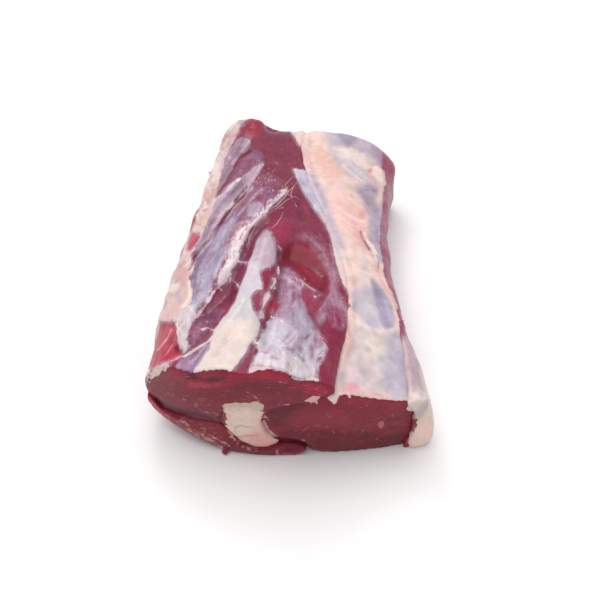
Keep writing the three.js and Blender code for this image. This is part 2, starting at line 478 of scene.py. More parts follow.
# The rim of fat down the left of the cap and what lies on it
LEFT_RIM = (
    area(FAT, "#d9b9b4", "228,108 252,108 246,120 240,127 234,140 230,150 226,158 224,165 222,175"
         " 217,190 215,197 214,205 211,215 208,222 203,235 198,245 191,255 192,262 189,270 190,280"
         " 192,290 193,298 191,304 185,309 180,313 178,320 174,323 160,322 148,322 153,300 163,270"
         " 178,235 193,200 203,160 213,130", ragged=1.8, lift=1.0),
    wash(FAT, "#dcc8b8", "220,118 240,118 236,130 224,134 216,134", soft=6),
    area(FILM, "#a1879a", "237,116 249,116 247,126 239,128", soft=4, opacity=0.6),
    line(LEAN, "#b8606c", 2.0, "230,140 240,133", soft=3, opacity=0.7),
    line(FILM, "#c9b2b8", 5.0, "238,128 230,142 225,158 221,172", soft=5, opacity=0.6),
    wash(FAT, "#bf8082", "219,132 232,132 230,150 218,152", soft=7, opacity=0.95),
    wash(FAT, "#d49f9e", "203,186 214,187 212,206 200,206", soft=7, opacity=0.7),
    wash(FAT, "#e4cdc8", "213,160 223,160 221,178 212,184", soft=6),
    line(LEAN, "#a5333f", 3.0, "199,210 195,222 190,232", soft=3),
    line(LEAN, "#a5333f", 3.0, "176,262 173,272 170,282", soft=3),
    line(LEAN, "#b23e4c", 2.0, "186,244 184,252 180,258", soft=3, ragged=1.6),
    *swell(7.0, "222,128 219,136|214,160 211,166|204,190 202,196|197,212 194,218|186,246 183,252"
           "|172,272 171,278|167,292 165,298|163,314 164,320", 1.2),
    *swell(6.0, "219,146 217,152|209,177 207,182|201,203 199,207|191,231 189,237|178,260 176,265"
           "|169,284 168,287|165,304 164,308", -1.1),
    area(LEAN, "#c23a50", "193,231 197,234 201,233 199,241 195,246 192,254 187,253 189,243", soft=4,
         ragged=2.6, lift=-0.5),
    area(LEAN, "#b8384c", "206,170 211,170 212,174 209,175 206,174", soft=2, lift=2.2, crisp=True),
    *creases_and_glints(LEAN, "#b5606c", 0.9, "172,284 178,282|168,292 173,296|176,318 172,321 168,320"
             "|186,262 190,266|196,226 202,224|214,172 219,170|221,150 225,146|210,192 216,190"
             "|184,256 188,258", 0.6),
    *creases_and_glints(FAT, "#f2ded5", 1.3, "190,262 186,268|206,204 203,214|217,166 213,176|227,146"
             " 224,154|199,226 195,230", 0.6),
    *creases_and_glints(FAT, "#efdcd2", 2.2, "224,128 228,134|218,146 221,152|214,166 217,172|208,184"
             " 211,192|204,200 207,208|198,216 200,222|228,140 225,146|210,176 213,180", 0.5),
    *creases_and_glints(LEAN, "#b4505e", 1.0, "223,136 228,140 226,146|216,158 219,163|213,176 209,182"
             "|204,212 209,210|198,224 204,228|182,278 176,284|166,302 172,304|219,152 222,157",
             0.6),
    wash(FAT, "#cf9c9a", "174,262 188,264 188,288 172,284", soft=7, opacity=0.85),
    wash(FAT, "#e6cdc2", "164,284 180,281 180,292 164,294", soft=5),
    wash(FAT, "#d8b5b1", "160,296 178,294 182,305 178,318 166,322 158,312", soft=6),
    area(FILM, "#b9a9bb", "175,292 181,292 181,306 176,305", opacity=0.7),
    line(FAT, "#ecdad2", 2.4, "190,283 191,294 188,302 183,308", opacity=0.9, lift=0.6),
)

# Films, grooves and torn ridges on the left half of the cap
LEFT_FILMS = (
    wash(LEAN, "#a03448", "242,116 264,116 266,132 244,138"),
    area(LEAN, "#a03448", "246,112 261,112 265,122 262,128 250,127", soft=5, ragged=1.6,
         opacity=0.6, lift=4.5),
    area(LEAN, "#84364c", "267,120 280,122 280,132 266,132", soft=5, opacity=0.6, lift=-4.0),
    area(LEAN, "#84364c", "282,122 290,124 291,132 283,131", soft=4, opacity=0.6, lift=2.5),
    wash(LEAN, "#8a4a5c", "261,122 292,128 292,138 276,140 262,133", soft=6, opacity=0.7),
    wash(LEAN, "#84364c", "250,140 300,140 304,180 262,180", soft=12),
    area(FILM, "#8d6a86", "253,149 262,155 264,164 258,172 252,182 246,190 238,198 230,207"
         " 222,218 216,226 211,216 214,206 217,197 222,190 228,181 234,172 238,165 244,157", soft=9,
         ragged=2.4, opacity=0.5),
    area(FILM, "#9f7b91", "239,137 249,139 252,145 248,151 240,157 236,164 232,171 228,178"
         " 222,187 216,196 215,192 220,180 222,170 224,162 228,154 233,145", opacity=0.9),
    line(FILM, "#cbb2bf", 1.8, "249,142 244,149 238,155 233,164", opacity=0.8),
    line(FILM, "#d0b9c3", 1.8, "230,158 226,167 221,178", opacity=0.8),
    line(LEAN, "#7b2a42", 2.8, "250,151 240,158 236,166 232,173 226,182 220,191 216,198",
         lift=-1.0),
    line(FILM, "#8c6480", 5.0, "246,167 240,175 232,184 224,195 217,208", soft=4, opacity=0.8),
    area(FILM, "#c4a7ba", "264,163 259,172 255,178 250,186 243,194 238,200 232,206 226,213"
         " 221,220 217,227 213,235 208,243 200,252 195,257 188,263 183,258 190,250 198,243 203,236"
         " 208,226 211,217 214,208 216,201 221,196 225,190 231,185 236,181 242,178 250,172 258,165",
         soft=3, opacity=0.88, lift=0.7, crisp=True),
    line(FILM, "#8b7490", 3.8, "246,178 238,188 229,196 222,205 215,217 207,234 197,248", soft=4,
         opacity=0.8),
    line(FILM, "#d6c3cd", 2.2, "263,165 255,178 243,194 232,206 221,220 213,235 203,249 190,261",
         ragged=0.7, opacity=0.9, lift=0.6),
    line(LEAN, "#7d4a5f", 1.5, "247,187 241,195 235,202", lift=-0.5),
    line(FILM, "#dccbd3", 1.2, "213,201 222,197 228,191 233,185 238,180", ragged=1.2, lift=0.5),
    area(FAT, "#e4d2d2", "235,183 238,179 242,179 241,182 238,184", soft=2, ragged=1.4, lift=0.6),
    line(LEAN, "#7a2742", 2.8, "246,194 242,199 235,206 228,213 222,221 217,229 213,236 207,243"
         " 201,250 197,256 190,268 187,272", lift=-1.2),
    area(LEAN, "#7a2742", "192,253 200,250 202,257 196,264 190,270 188,268", lift=-0.8),
    area(FILM, "#8b5877", "250,186 262,184 272,186 277,194 270,203 264,208 262,213 258,220"
         " 250,226 244,232 240,240 236,245 232,252 231,260 222,264 212,256 203,258 198,258 204,251"
         " 210,244 216,237 220,229 225,222 231,214 238,207 244,199", soft=4, ragged=1.8,
         opacity=0.85),
    area(FILM, "#96657d", "256,178 266,172 277,178 282,186 272,190 260,188 250,190", soft=8,
         ragged=2.4, opacity=0.5),
    area(SHREDS, "#dcc3cc", "254,172 268,166 282,176 286,190 272,200 256,200 246,196", soft=8,
         opacity=0.26),
    *creases_and_glints(FAT, "#cdb2bf", 0.7, "268,172 270,175|268,183 271,186|266,191 270,192|262,199"
             " 265,197|270,170 272,168|280,180 283,183", 0.5),
    area(SHREDS, "#d8bfca", "246,200 262,196 264,214 248,228 236,240 226,246 230,224", soft=8,
         opacity=0.16),
    line(FILM, "#cdb6c3", 1.3, "252,188 246,195 238,204 231,212", ragged=0.8, opacity=0.8),
    line(FILM, "#cbb3c0", 1.3, "262,190 254,196 247,206 238,216", ragged=0.8, opacity=0.7),
    area(LEAN, "#9a4056", "256,196 262,196 263,202 257,203", soft=4, opacity=0.7),
    area(FILM, "#bba6b8", "250,204 261,202 264,214 254,218 246,214", soft=5, opacity=0.9),
    area(FILM, "#d8a8b4", "226,227 240,222 246,227 240,238 234,250 225,253 221,242", soft=7,
         ragged=2.4, opacity=0.8),
    *creases_and_glints(FILM, "#a4677c", 1.2, "239,225 233,233 229,243|244,227 238,237 234,246", 0.7),
    line(FILM, "#d2bcc7", 1.6, "212,238 206,247 199,256 193,266", opacity=0.8, lift=0.4),
    area(FILM, "#a698b3", "238,214 235,226 230,240 225,254 220,268 215,283 209,295 203,306"
         " 197,316 190,314 189,302 190,288 192,276 197,265 204,253 212,240 221,227 230,217", soft=5,
         ragged=2.0, opacity=0.85),
    area(FILM, "#8f7591", "222,226 214,238 206,251 199,264 197,252 206,240 214,229", soft=6,
         opacity=0.6),
    line(FILM, "#75607f", 2.6, "206,249 200,261 196,274 195,290", soft=4, opacity=0.8, lift=-0.4),
    line(FILM, "#8a7894", 1.6, "222,238 214,251 209,264 206,280", soft=3, opacity=0.7),
    line(FILM, "#c3bccd", 2.6, "232,222 222,236 214,250 208,264 204,280 200,294", soft=4,
         opacity=0.7),
    line(FILM, "#c4c4d4", 4.0, "201,274 198,288 195,302 192,312", soft=5, opacity=0.6),
    line(FILM, "#dccfd6", 1.3, "226,252 220,264 214,278", ragged=0.8, opacity=0.8, lift=0.3),
    line(FILM, "#d9cbd3", 2.0, "222,284 214,292 208,302 202,311 196,319", ragged=1.4, opacity=0.9,
         lift=0.6),
    line(FAT, "#e0cfd4", 1.0, "215,284 208,294 200,307 194,314", ragged=0.8, opacity=0.8),
    area(FILM, "#d6c8cc", "176,313 190,304 197,314 194,322 192,330 192,338 191,346 187,353"
         " 181,354 177,345 177,330", opacity=0.95),
    line(FAT, "#e2d2cf", 1.8, "178,322 179,336 182,350", opacity=0.8, lift=0.5),
    area(LEAN, "#8c3050", "258,234 256,243 252,255 249,262 247,272 243,282 240,290 236,297"
         " 232,305 228,312 223,318 218,325 214,330 210,338 200,345 190,346 187,338 189,329 194,322"
         " 200,317 207,308 212,300 214,293 221,287 228,284 232,281 233,270 237,264 241,260 244,252"
         " 252,243", lift=-1.0),
    area(FILM, "#946884", "194,325 200,318 213,310 226,308 221,319 214,329 216,334 212,338"
         " 207,343 200,346 192,348 188,340 189,332", soft=5, ragged=2.4, opacity=0.5),
    # Small pale dashes on the purple film in the lower groove: painted highlights of wet glints,
    # raised a little like creases
    *creases_and_glints(FAT, "#dcc6cf", 0.8, "192,322 198,320|200,316 207,315|206,322 212,321|196,330"
             " 203,329|208,310 215,309|190,336 196,335|212,316 217,314|186,340 191,338|213,323"
             " 216,321", 0.7),
    *creases_and_glints(FILM, "#6f4762", 1.4, "193,324 201,321|206,318 214,316|189,338 197,335", 0.7),
    line(FAT, "#b98f9c", 1.2, "275,162 277,165", soft=1.5, ragged=0.4, opacity=0.6),
    line(FAT, "#d9a9a8", 2.2, "203,330 209,328 213,331 217,330", soft=2, ragged=1.8, lift=0.8),
    line(FAT, "#d8c0c6", 1.4, "231,279 236,283 240,288", ragged=0.5, lift=0.5),
    line(FAT, "#cdb2bc", 1.2, "236,262 242,262 249,263", ragged=0.5, lift=0.4),
    area(FILM, "#9c7794", "214,338 211,352 206,358 201,364 197,368 194,374 186,372 180,371"
         " 174,366 180,360 186,355 194,349 203,344", opacity=0.88),
    line(FILM, "#d2bdd0", 2.2, "206,346 198,356 190,364", ragged=1.2, opacity=0.85),
    line(FILM, "#d2bdd0", 1.6, "210,346 203,360 196,368", opacity=0.8),
    line(FAT, "#dcc6c8", 2.4, "184,357 195,350 205,345 213,338", lift=0.7),
    area(FAT, "#c9b2be", "282,188 287,190 286,195 280,201 274,205 268,210 265,216 262,221 258,225"
         " 252,228 248,232 245,238 243,247 242,257 236,262 231,267 229,275 227,281 220,288 216,283"
         " 222,273 223,265 231,257 232,248 236,241 240,234 246,227 251,221 257,218 260,212 264,207"
         " 270,203 276,197", soft=5, ragged=3.4, opacity=0.6, lift=0.5),
    area(SHREDS, "#eadade", "286,188 288,193 280,200 270,206 264,213 256,221 248,228 242,238"
         " 238,250 236,262 228,272 221,280 217,278 224,264 228,254 229,244 234,235 240,228 248,219"
         " 256,213 262,205 270,198 278,193", soft=5, ragged=2.4, opacity=0.6, lift=0.4),
    area(FAT, "#ead2d5", "252,220 254,224 247,234 243,246 240,258 234,268 227,278 220,286 218,280"
         " 225,268 229,256 231,244 237,233 244,225", soft=5, ragged=3.2, opacity=0.6, lift=0.7),
    *creases_and_glints(FAT, "#dccbd2", 1.1, "287,190 280,198 271,205 266,212|284,194 277,202 268,208"
             "|270,204 263,211 256,217", 0.6),
    *creases_and_glints(FAT, "#f7ecec", 1.2, "262,213 256,221 250,226|252,220 246,228 242,237 239,247"
             "|249,226 243,235 240,244 237,255|245,232 240,243 236,250 234,260|240,246 236,257"
             " 230,265 226,274|236,254 231,263 226,268 220,279|233,262 227,272 222,282|246,228"
             " 240,233 237,240|232,250 236,249|228,262 232,262|229,272 223,280|258,213 252,219",
             0.75),
    *creases_and_glints(LEAN, "#a8566c", 1.0, "244,232 240,240|235,252 233,260|262,209 258,215|254,218"
             " 250,224|271,203 266,207|241,246 239,252|248,226 245,231", 0.7),
    *creases_and_glints(FILM, "#8f6a86", 1.6, "284,196 276,203 270,209|263,216 256,224 250,231|246,240"
             " 244,250 243,258|238,264 233,270", 0.7),
    area(SHREDS, "#eadce0", "222,262 232,262 236,276 226,290 214,296 214,284", soft=6, opacity=0.4),
    area(FILM, "#b29caf", "215,283 224,266 230,270 233,278 228,284 220,290", soft=6, opacity=0.5),
    line(LEAN, "#8d5066", 1.3, "267,206 262,212", lift=-0.5),
)

# The long strip of fat down the middle, its red spots and the groove beside it
MIDDLE_STRIP = (
    wash(LEAN, "#98304a", "268,218 292,220 292,242 274,246", soft=14),
    area(LEAN, "#8a3450", "258,222 265,222 264,234 258,240 255,236", soft=5, opacity=0.8),
    area(FAT, "#cdc7ca", "268,229 262,238 257,247 252,261 247,272 243,282 238,295 233,306 227,315"
         " 221,321 215,330 212,337 210,348 205,356 200,363 194,369 190,384 230,384 232,372 236,367"
         " 241,360 245,355 250,347 254,340 258,334 260,327 258,320 256,314 253,308 252,300 253,293"
         " 262,291 264,283 262,276 260,270 265,269 270,268 274,262 275,252 274,244 271,236", soft=4,
         ragged=1.3, lift=1.2),
    wash(FAT, "#b9a0b0", "262,226 278,226 279,270 268,270 256,266 254,250", soft=12),
    wash(FAT, "#d2c6d1", "250,262 262,272 262,284 252,292 240,298 240,280", soft=10),
    line(FAT, "#d8ced8", 3.0, "266,240 262,254 256,268", soft=6, opacity=0.7),
    wash(FAT, "#e6d3cb", "226,318 258,322 248,352 236,378 194,378 206,352", soft=12),
    line(FAT, "#f6eeea", 1.6, "244,300 236,314 228,326", soft=4, opacity=0.6),
    area(LEAN, "#962b48", "260,269 268,270 275,272 277,278 273,284 269,291 263,290 261,282",
         lift=-0.8),
    area(LEAN, "#8b2647", "250,299 253,293 258,290 264,291 266,296 264,302 261,308 257,315"
         " 253,309", lift=-0.9),
    area(LEAN, "#9f2a46", "264,299 270,296 277,299 283,302 284,308 280,314 272,315 266,313"
         " 263,306", lift=-0.7),
    area(LEAN, "#802a45", "274,242 282,242 286,262 284,292 276,296 276,282 278,270 277,255", soft=4,
         lift=-0.6),
    area(LEAN, "#97304f", "250,344 256,345 257,352 255,360 250,366 246,372 236,373 240,364"
         " 244,357 248,350", lift=-0.8),
    line(FAT, "#c8a5b0", 0.9, "274,240 278,246 281,250 280,258 278,268 277,278", soft=1.5,
         ragged=0.8, opacity=0.8, lift=0.3),
    line(FAT, "#d5b0b9", 4.2, "277,277 273,285 270,291 266,299 263,306 260,316", soft=4, ragged=3.4,
         opacity=0.7, lift=0.3),
    *creases_and_glints(LEAN, "#a04a60", 0.9, "274,286 270,293", 0.7),
    *creases_and_glints(FAT, "#efdfe2", 1.0, "275,282 271,289|268,296 265,302 263,309|278,268 280,276", 0.7),
    line(FAT, "#c98a96", 1.8, "281,284 286,286 291,284", soft=3, ragged=1.2, opacity=0.6),
)

# The bare lean, the gouge and the films on the right half of the cap
RIGHT_FILMS = (
    wash(LEAN, "#84304a", "284,205 312,206 322,232 304,228 288,222", soft=10),
    area(FILM, "#95586f", "288,241 300,232 316,234 324,239 332,255 336,272 332,290 326,272"
         " 318,256 310,246 298,241", soft=9, ragged=2.0, opacity=0.45),
    line(FILM, "#a97c90", 1.2, "306,236 316,244 324,254 330,268", ragged=0.5, opacity=0.6),
    area(FILM, "#a8809a", "281,266 290,270 299,278 305,284 306,291 303,299 307,306 307,320"
         " 306,331 294,334 286,328 281,310 279,300 277,291 279,283", soft=9, ragged=2.6,
         opacity=0.75),
    area(FILM, "#bba0b6", "288,288 301,290 303,306 308,322 308,336 296,332 290,312", soft=9,
         ragged=2.0, opacity=0.8),
    *creases_and_glints(FILM, "#8d6380", 1.4, "283,272 286,282 286,292|292,280 294,292 293,304|299,296"
             " 300,308", 0.6),
    line(FILM, "#d0b8c6", 1.3, "284,276 292,282 300,288", ragged=0.8, opacity=0.7),
    area(LEAN, "#8c1a36", "284,250 288,244 296,241 305,243 312,250 318,259 323,268 327,276"
         " 329,284 326,291 322,294 318,291 313,287 308,282 303,277 298,272 290,268 284,262 282,256",
         soft=6, ragged=2.0, lift=-0.6),
    wash(LEAN, "#a02f46", "298,262 312,262 322,276 322,290 310,282", soft=6),
    line(LEAN, "#74203a", 2.0, "300,250 308,262 314,276", soft=4, ragged=2.0, opacity=0.4),
    line(LEAN, "#74203a", 2.0, "312,258 319,272 323,286", soft=4, ragged=2.0, opacity=0.4),
    line(FAT, "#dba09e", 2.0, "300,280 308,287 313,290 318,294 324,296", soft=3, ragged=1.6,
         opacity=0.8, lift=0.5),
    area(SHREDS, "#e6c6c4", "290,270 302,276 318,290 328,294 322,300 306,292 292,280", soft=5,
         opacity=0.4),
    area(FAT, "#dcbcbf", "311,297 316,295 317,300 312,302", ragged=1.2, lift=0.4),
    area(LEAN, "#98405c", "303,286 311,293 316,299 325,300 322,310 320,320 322,328 318,333"
         " 310,334 306,330 306,318 306,305 301,296", soft=4, lift=-0.5),
    line(FILM, "#a9879c", 5.0, "331,246 335,262 337,276 335,290 333,304", soft=5, opacity=0.65),
    area(FILM, "#a47b91", "332,262 337,270 338,288 345,302 349,318 347,332 338,326 333,312"
         " 326,320 319,326 314,318 322,306 330,292", soft=6, ragged=2.6, opacity=0.6),
    *creases_and_glints(FILM, "#bb9aac", 1.3, "333,264 334,282 331,294 325,306|335,290 338,304 341,316"
             "|339,298 344,311 347,322|328,300 321,308 315,314|332,300 334,314 335,326", 0.6),
    *creases_and_glints(FAT, "#d3b7c0", 0.8, "341,308 346,318|342,324 347,334", 0.6),
    area(FILM, "#a0718a", "326,306 340,308 346,322 340,332 330,326", soft=6, opacity=0.4),
    wash(LEAN, "#8d2a46", "322,240 332,248 340,272 344,294 354,306 356,330 350,350 346,372"
         " 334,396 318,392 316,372 326,345 326,330 332,300 332,270", soft=6),
    line(LEAN, "#a83a52", 3.0, "346,300 350,308 348,318", soft=3),
)

# The white membrane above the cut at the front of the cap
FRONT_MEMBRANE = (
    area(FILM, "#a98ba5", "266,316 286,306 306,312 318,330 328,350 322,364 314,356 300,342"
         " 280,330", soft=8, opacity=0.8),
    area(FILM, "#c5b8c7", "269,319 278,317 290,324 300,329 306,332 312,332 317,340 325,343"
         " 327,350 323,358 318,366 318,378 318,386 308,388 290,386 286,374 280,376 265,374 248,376"
         " 252,366 256,360 258,352 257,346 259,340 263,333 266,326", soft=4, ragged=3.0,
         opacity=0.97, lift=0.5),
    area(FILM, "#bdb0c3", "286,316 302,308 311,320 314,338 306,350 292,342", soft=10, opacity=0.85),
    area(FILM, "#d5c8cf", "256,352 276,354 300,362 316,366 318,382 290,384 270,376 248,374",
         soft=9),
    area(FILM, "#cfc6d2", "266,326 280,326 286,340 278,350 262,346", soft=8, opacity=0.9),
    area(FILM, "#b3a1b8", "284,334 298,338 304,350 292,356 282,346", soft=8, opacity=0.7),
    area(FILM, "#8f6a86", "309,344 314,348 314,360 309,360", soft=5, opacity=0.6),
    *creases_and_glints(FILM, "#8a5f7c", 1.6, "320,356 317,362|310,334 305,339", 0.6),
    *creases_and_glints(FILM, "#efe8ee", 2.0, "254,341 264,350 275,353|262,330 272,334 279,340|281,353"
             " 290,355 300,356|256,360 268,362 282,368|304,344 307,352 305,362", 0.75),
    *creases_and_glints(FILM, "#f3ecf0", 1.2, "257,347 266,356 276,360|284,343 291,338 296,331|292,357"
             " 300,362 308,370|270,342 278,346 286,346|300,330 296,338 291,345|262,366 274,368"
             "|311,364 314,374|286,362 294,370 300,374|268,337 274,332", 0.7),
    *creases_and_glints(FILM, "#9d89a3", 1.2, "288,349 297,354 303,361|271,357 280,360|277,337 283,341"
             "|262,352 268,353|290,331 287,337|306,366 311,376", 0.6),
    line(FAT, "#ece2e4", 1.2, "254,341 264,350 275,352 285,354 298,356", ragged=1.6, opacity=0.75,
         lift=0.4),
    line(FAT, "#efe4e6", 0.9, "271,317 278,320 284,322 291,326", ragged=0.7, lift=0.4),
    area(FILM, "#9a5a72", "312,339 319,338 323,344 320,350 314,348", soft=4, ragged=1.6,
         opacity=0.7),
    *creases_and_glints(FAT, "#dfa5aa", 1.8, "319,337 325,342 327,348|326,349 324,356 320,361", 0.7),
    *creases_and_glints(FAT, "#f3e6e6", 1.0, "321,343 324,347|322,352 319,358|316,366 317,374", 0.7),
    area(FAT, "#dccdd3", "250,366 268,366 286,373 290,382 270,378 250,378", soft=6, ragged=1.4,
         opacity=0.8),
    area(FAT, "#e3cfcb", "304,377 318,378 319,384 306,384", soft=4, ragged=1.2, opacity=0.8),
    line(FAT, "#d99aa2", 1.2, "249,369 262,368 276,368 284,370", opacity=0.7),
)

# The raw flank at the lower left of the cap
LEFT_FLANK = (
    area(LEAN, "#b33449", "163,321 168,322 172,325 176,331 177,340 179,347 184,352 180,360"
         " 172,363 165,362 158,367 150,372 138,378 136,350 145,330 152,318", ragged=1.8, lift=-0.5),
    wash(LEAN, "#c04a60", "168,328 177,330 177,342 172,350 164,352 162,342", soft=6),
    line(FILM, "#d79aa4", 2.0, "172,330 168,338 163,344 158,350", ragged=0.9, opacity=0.7),
    line(FILM, "#cf8f9b", 1.4, "176,336 172,346 166,354", ragged=0.8, opacity=0.6),
    line(LEAN, "#8a2a3e", 1.6, "162,326 158,338 154,352", ragged=0.8, opacity=0.8),
    area(LEAN, "#7a2238", "174,346 179,346 179,352 175,352", ragged=0.8, lift=-0.6),
    area(FAT, "#cfb2ac", "150,374 156,366 163,364 170,364 170,372 160,377 152,382 148,384",
         soft=3.5, ragged=2.2, opacity=0.85, lift=0.9),
    line(FAT, "#e0cbc2", 1.6, "150,370 147,380 149,389", ragged=0.6, lift=0.5),
    line(FAT, "#cf9f9e", 1.3, "160,322 158,332 153,344", ragged=0.8, lift=0.3),
    line(FAT, "#d9a9a8", 1.6, "182,356 174,360 166,362", opacity=0.8),
)

# The seam between the cap and the slab, swollen until it closes
SEAM = swell(8.0, "302,130 303,147 306,176 312,190 323,220 329,236 337,251 342,265 347,280 348,305"
             " 347,330 343,347 338,363 332,393", 2.6, soft=8)

# The slab of fat where it laps over the cap
SLAB_LAP = SEAM + (
    area(FAT, "#e6c9c0", "287,124 312,124 312,182 308,174 306,166 303,156 299,145 292,134", soft=3,
         lift=0.4),
    wash(FAT, "#b893a0", "298,144 304,144 310,166 308,176 302,160", soft=5, opacity=0.8),
    area(FAT, "#c9bdca", "292,168 300,171 309,174 316,182 330,232 323,222 316,212 309,202 302,190"
         " 297,180", soft=2, ragged=0.5, lift=0.8, crisp=True),
    area(FAT, "#dcc9cc", "318,214 329,236 334,258 340,277 344,292 350,302 352,292 350,276 344,262"
         " 337,246 328,224", ragged=1.2, lift=0.3),
    wash(FAT, "#a297b4", "297,180 304,181 307,189 301,188", soft=6, opacity=0.8),
    wash(FAT, "#a89cb8", "305,194 311,196 315,206 309,203", soft=6, opacity=0.8),
    wash(FAT, "#e4cfc9", "326,236 340,240 350,296 340,280", soft=6),
)

CAP_OUTSIDE = (
    LEFT_FILMS + LEFT_RIM + MIDDLE_STRIP + RIGHT_FILMS + FRONT_MEMBRANE + LEFT_FLANK + SLAB_LAP
)

# Torn bits of fat that hang over the line between the two cuts
HANGING_BITS = (
    area(FAT, "#dba9a8", "303,400 308,398 313,395 319,394 320,397 317,399 317,405 314,401 311,403"
         " 309,400", soft=1.2, ragged=1.6, lift=0.9, crisp=True),
    area(LEAN, "#3f0f1c", "320,396 326,396 326,399 321,400", soft=2, opacity=0.9, lift=-1.2),
    area(FAT, "#e6cfd0", "328,395 336,392 342,391 338,396 335,403 334,403 330,400 327,398",
         soft=1.2, lift=0.9, crisp=True),
    area(FAT, "#dfc2c3", "339,393 345,393 351,395 349,398 345,395 341,396", soft=1.2, ragged=2.0,
         lift=0.7, crisp=True),
    *creases_and_glints(FAT, "#c9a09e", 0.8, "264,406 272,404 280,404|284,404 291,403 297,401|288,403"
             " 289,406", 0.55),
)

# The cut across the cap
CAP_CUT = HANGING_BITS + (
    wash(LEAN, "#7c1529", "145,380 200,384 240,392 240,404 200,404 160,404 148,392", soft=12),
    wash(LEAN, "#981f38", "165,362 192,370 230,378 300,382 335,388 332,394 300,390 230,388"
         " 190,382 168,378", soft=6, opacity=0.7),
    wash(LEAN, "#aa1e3c", "298,382 330,386 328,396 308,394", soft=6, opacity=0.8),
    area(LEAN, "#b8384e", "185,383 198,382 212,384 224,383 214,387 192,388", soft=5, ragged=2.2,
         opacity=0.75),
    area(LEAN, "#ad2140", "229,371 248,367 268,367 282,370 290,379 288,383 262,377 240,376"
         " 228,378", soft=4, opacity=0.9, lift=0.5),
    wash(LEAN, "#762430", "232,381 290,381 290,394 240,394", soft=10),
    # A dark band under the overhanging edge of the middle strip: a shallow groove with a painted
    # shadow in it
    line(LEAN, "#4a1626", 4.0, "190,376 198,378 207,380 216,379 224,377", soft=5, ragged=3.6,
         opacity=0.75, lift=-1.0),
    *creases_and_glints(FAT, "#cfa6ad", 1.2, "186,376 190,377", 0.7),
    # A dark band along the crease between the cap and the flap: a sunken crease with a painted
    # shadow in it
    line(LEAN, "#45101f", 6.0, "157,400 166,406 176,410 190,413 205,416 222,419", soft=8,
         opacity=0.9, lift=-0.8),
    area(SHREDS, "#c08d96", "150,372 200,384 240,392 262,396 262,404 222,418 180,408 150,396",
         soft=4, opacity=0.13),
    area(SHREDS, "#c9a2a8", "190,400 224,402 224,418 206,416 188,410", soft=5, opacity=0.22),
    area(SHREDS, "#d9b3b6", "262,376 300,380 330,388 326,396 300,392 262,390", soft=4,
         opacity=0.15),
    area(FAT, "#cfa5a3", "150,370 157,365 166,364 169,369 162,374 155,377 150,379", soft=4,
         ragged=3.0, opacity=0.55),
    *creases_and_glints(FAT, "#e3cdc8", 0.9, "163,365 160,371|155,368 151,375|167,366 165,371|157,370"
             " 153,378|161,368 158,375|149,376 147,383|153,375 150,382", 0.75),
    *creases_and_glints(FAT, "#a87a82", 1.0, "158,384 168,381 178,379|183,388 189,386|159,395 166,400"
             "|197,396 206,398 215,401|195,404 203,409 208,413 216,417|205,411 212,411 218,414"
             "|226,389 233,390 240,390|279,386 276,389 277,393 280,392|215,378 221,379|168,392"
             " 176,393|183,398 188,401|176,404 182,409|290,388 296,387|306,391 312,389", 0.55),
    line(FAT, "#9a6f7a", 3.0, "212,419 221,414", soft=4, ragged=1.8, opacity=0.45),
    line(FAT, "#b9878c", 1.4, "246,391 252,394 256,397 259,401", ragged=0.8, opacity=0.7),
    area(FAT, "#cdb2a4", "222,403 240,402 262,402 264,412 225,414", soft=2, ragged=1.8),
    area(FAT, "#d2bcc4", "288,374 304,377 320,380 319,381 304,380 292,380", soft=3, ragged=1.8,
         opacity=0.8),
)

# The right edge of the eye, swollen until it meets the fat beside it
EYE_EDGE = swell(7.0, "413,412 414,420 411,430 407,440 404,446", 1.8, soft=4)

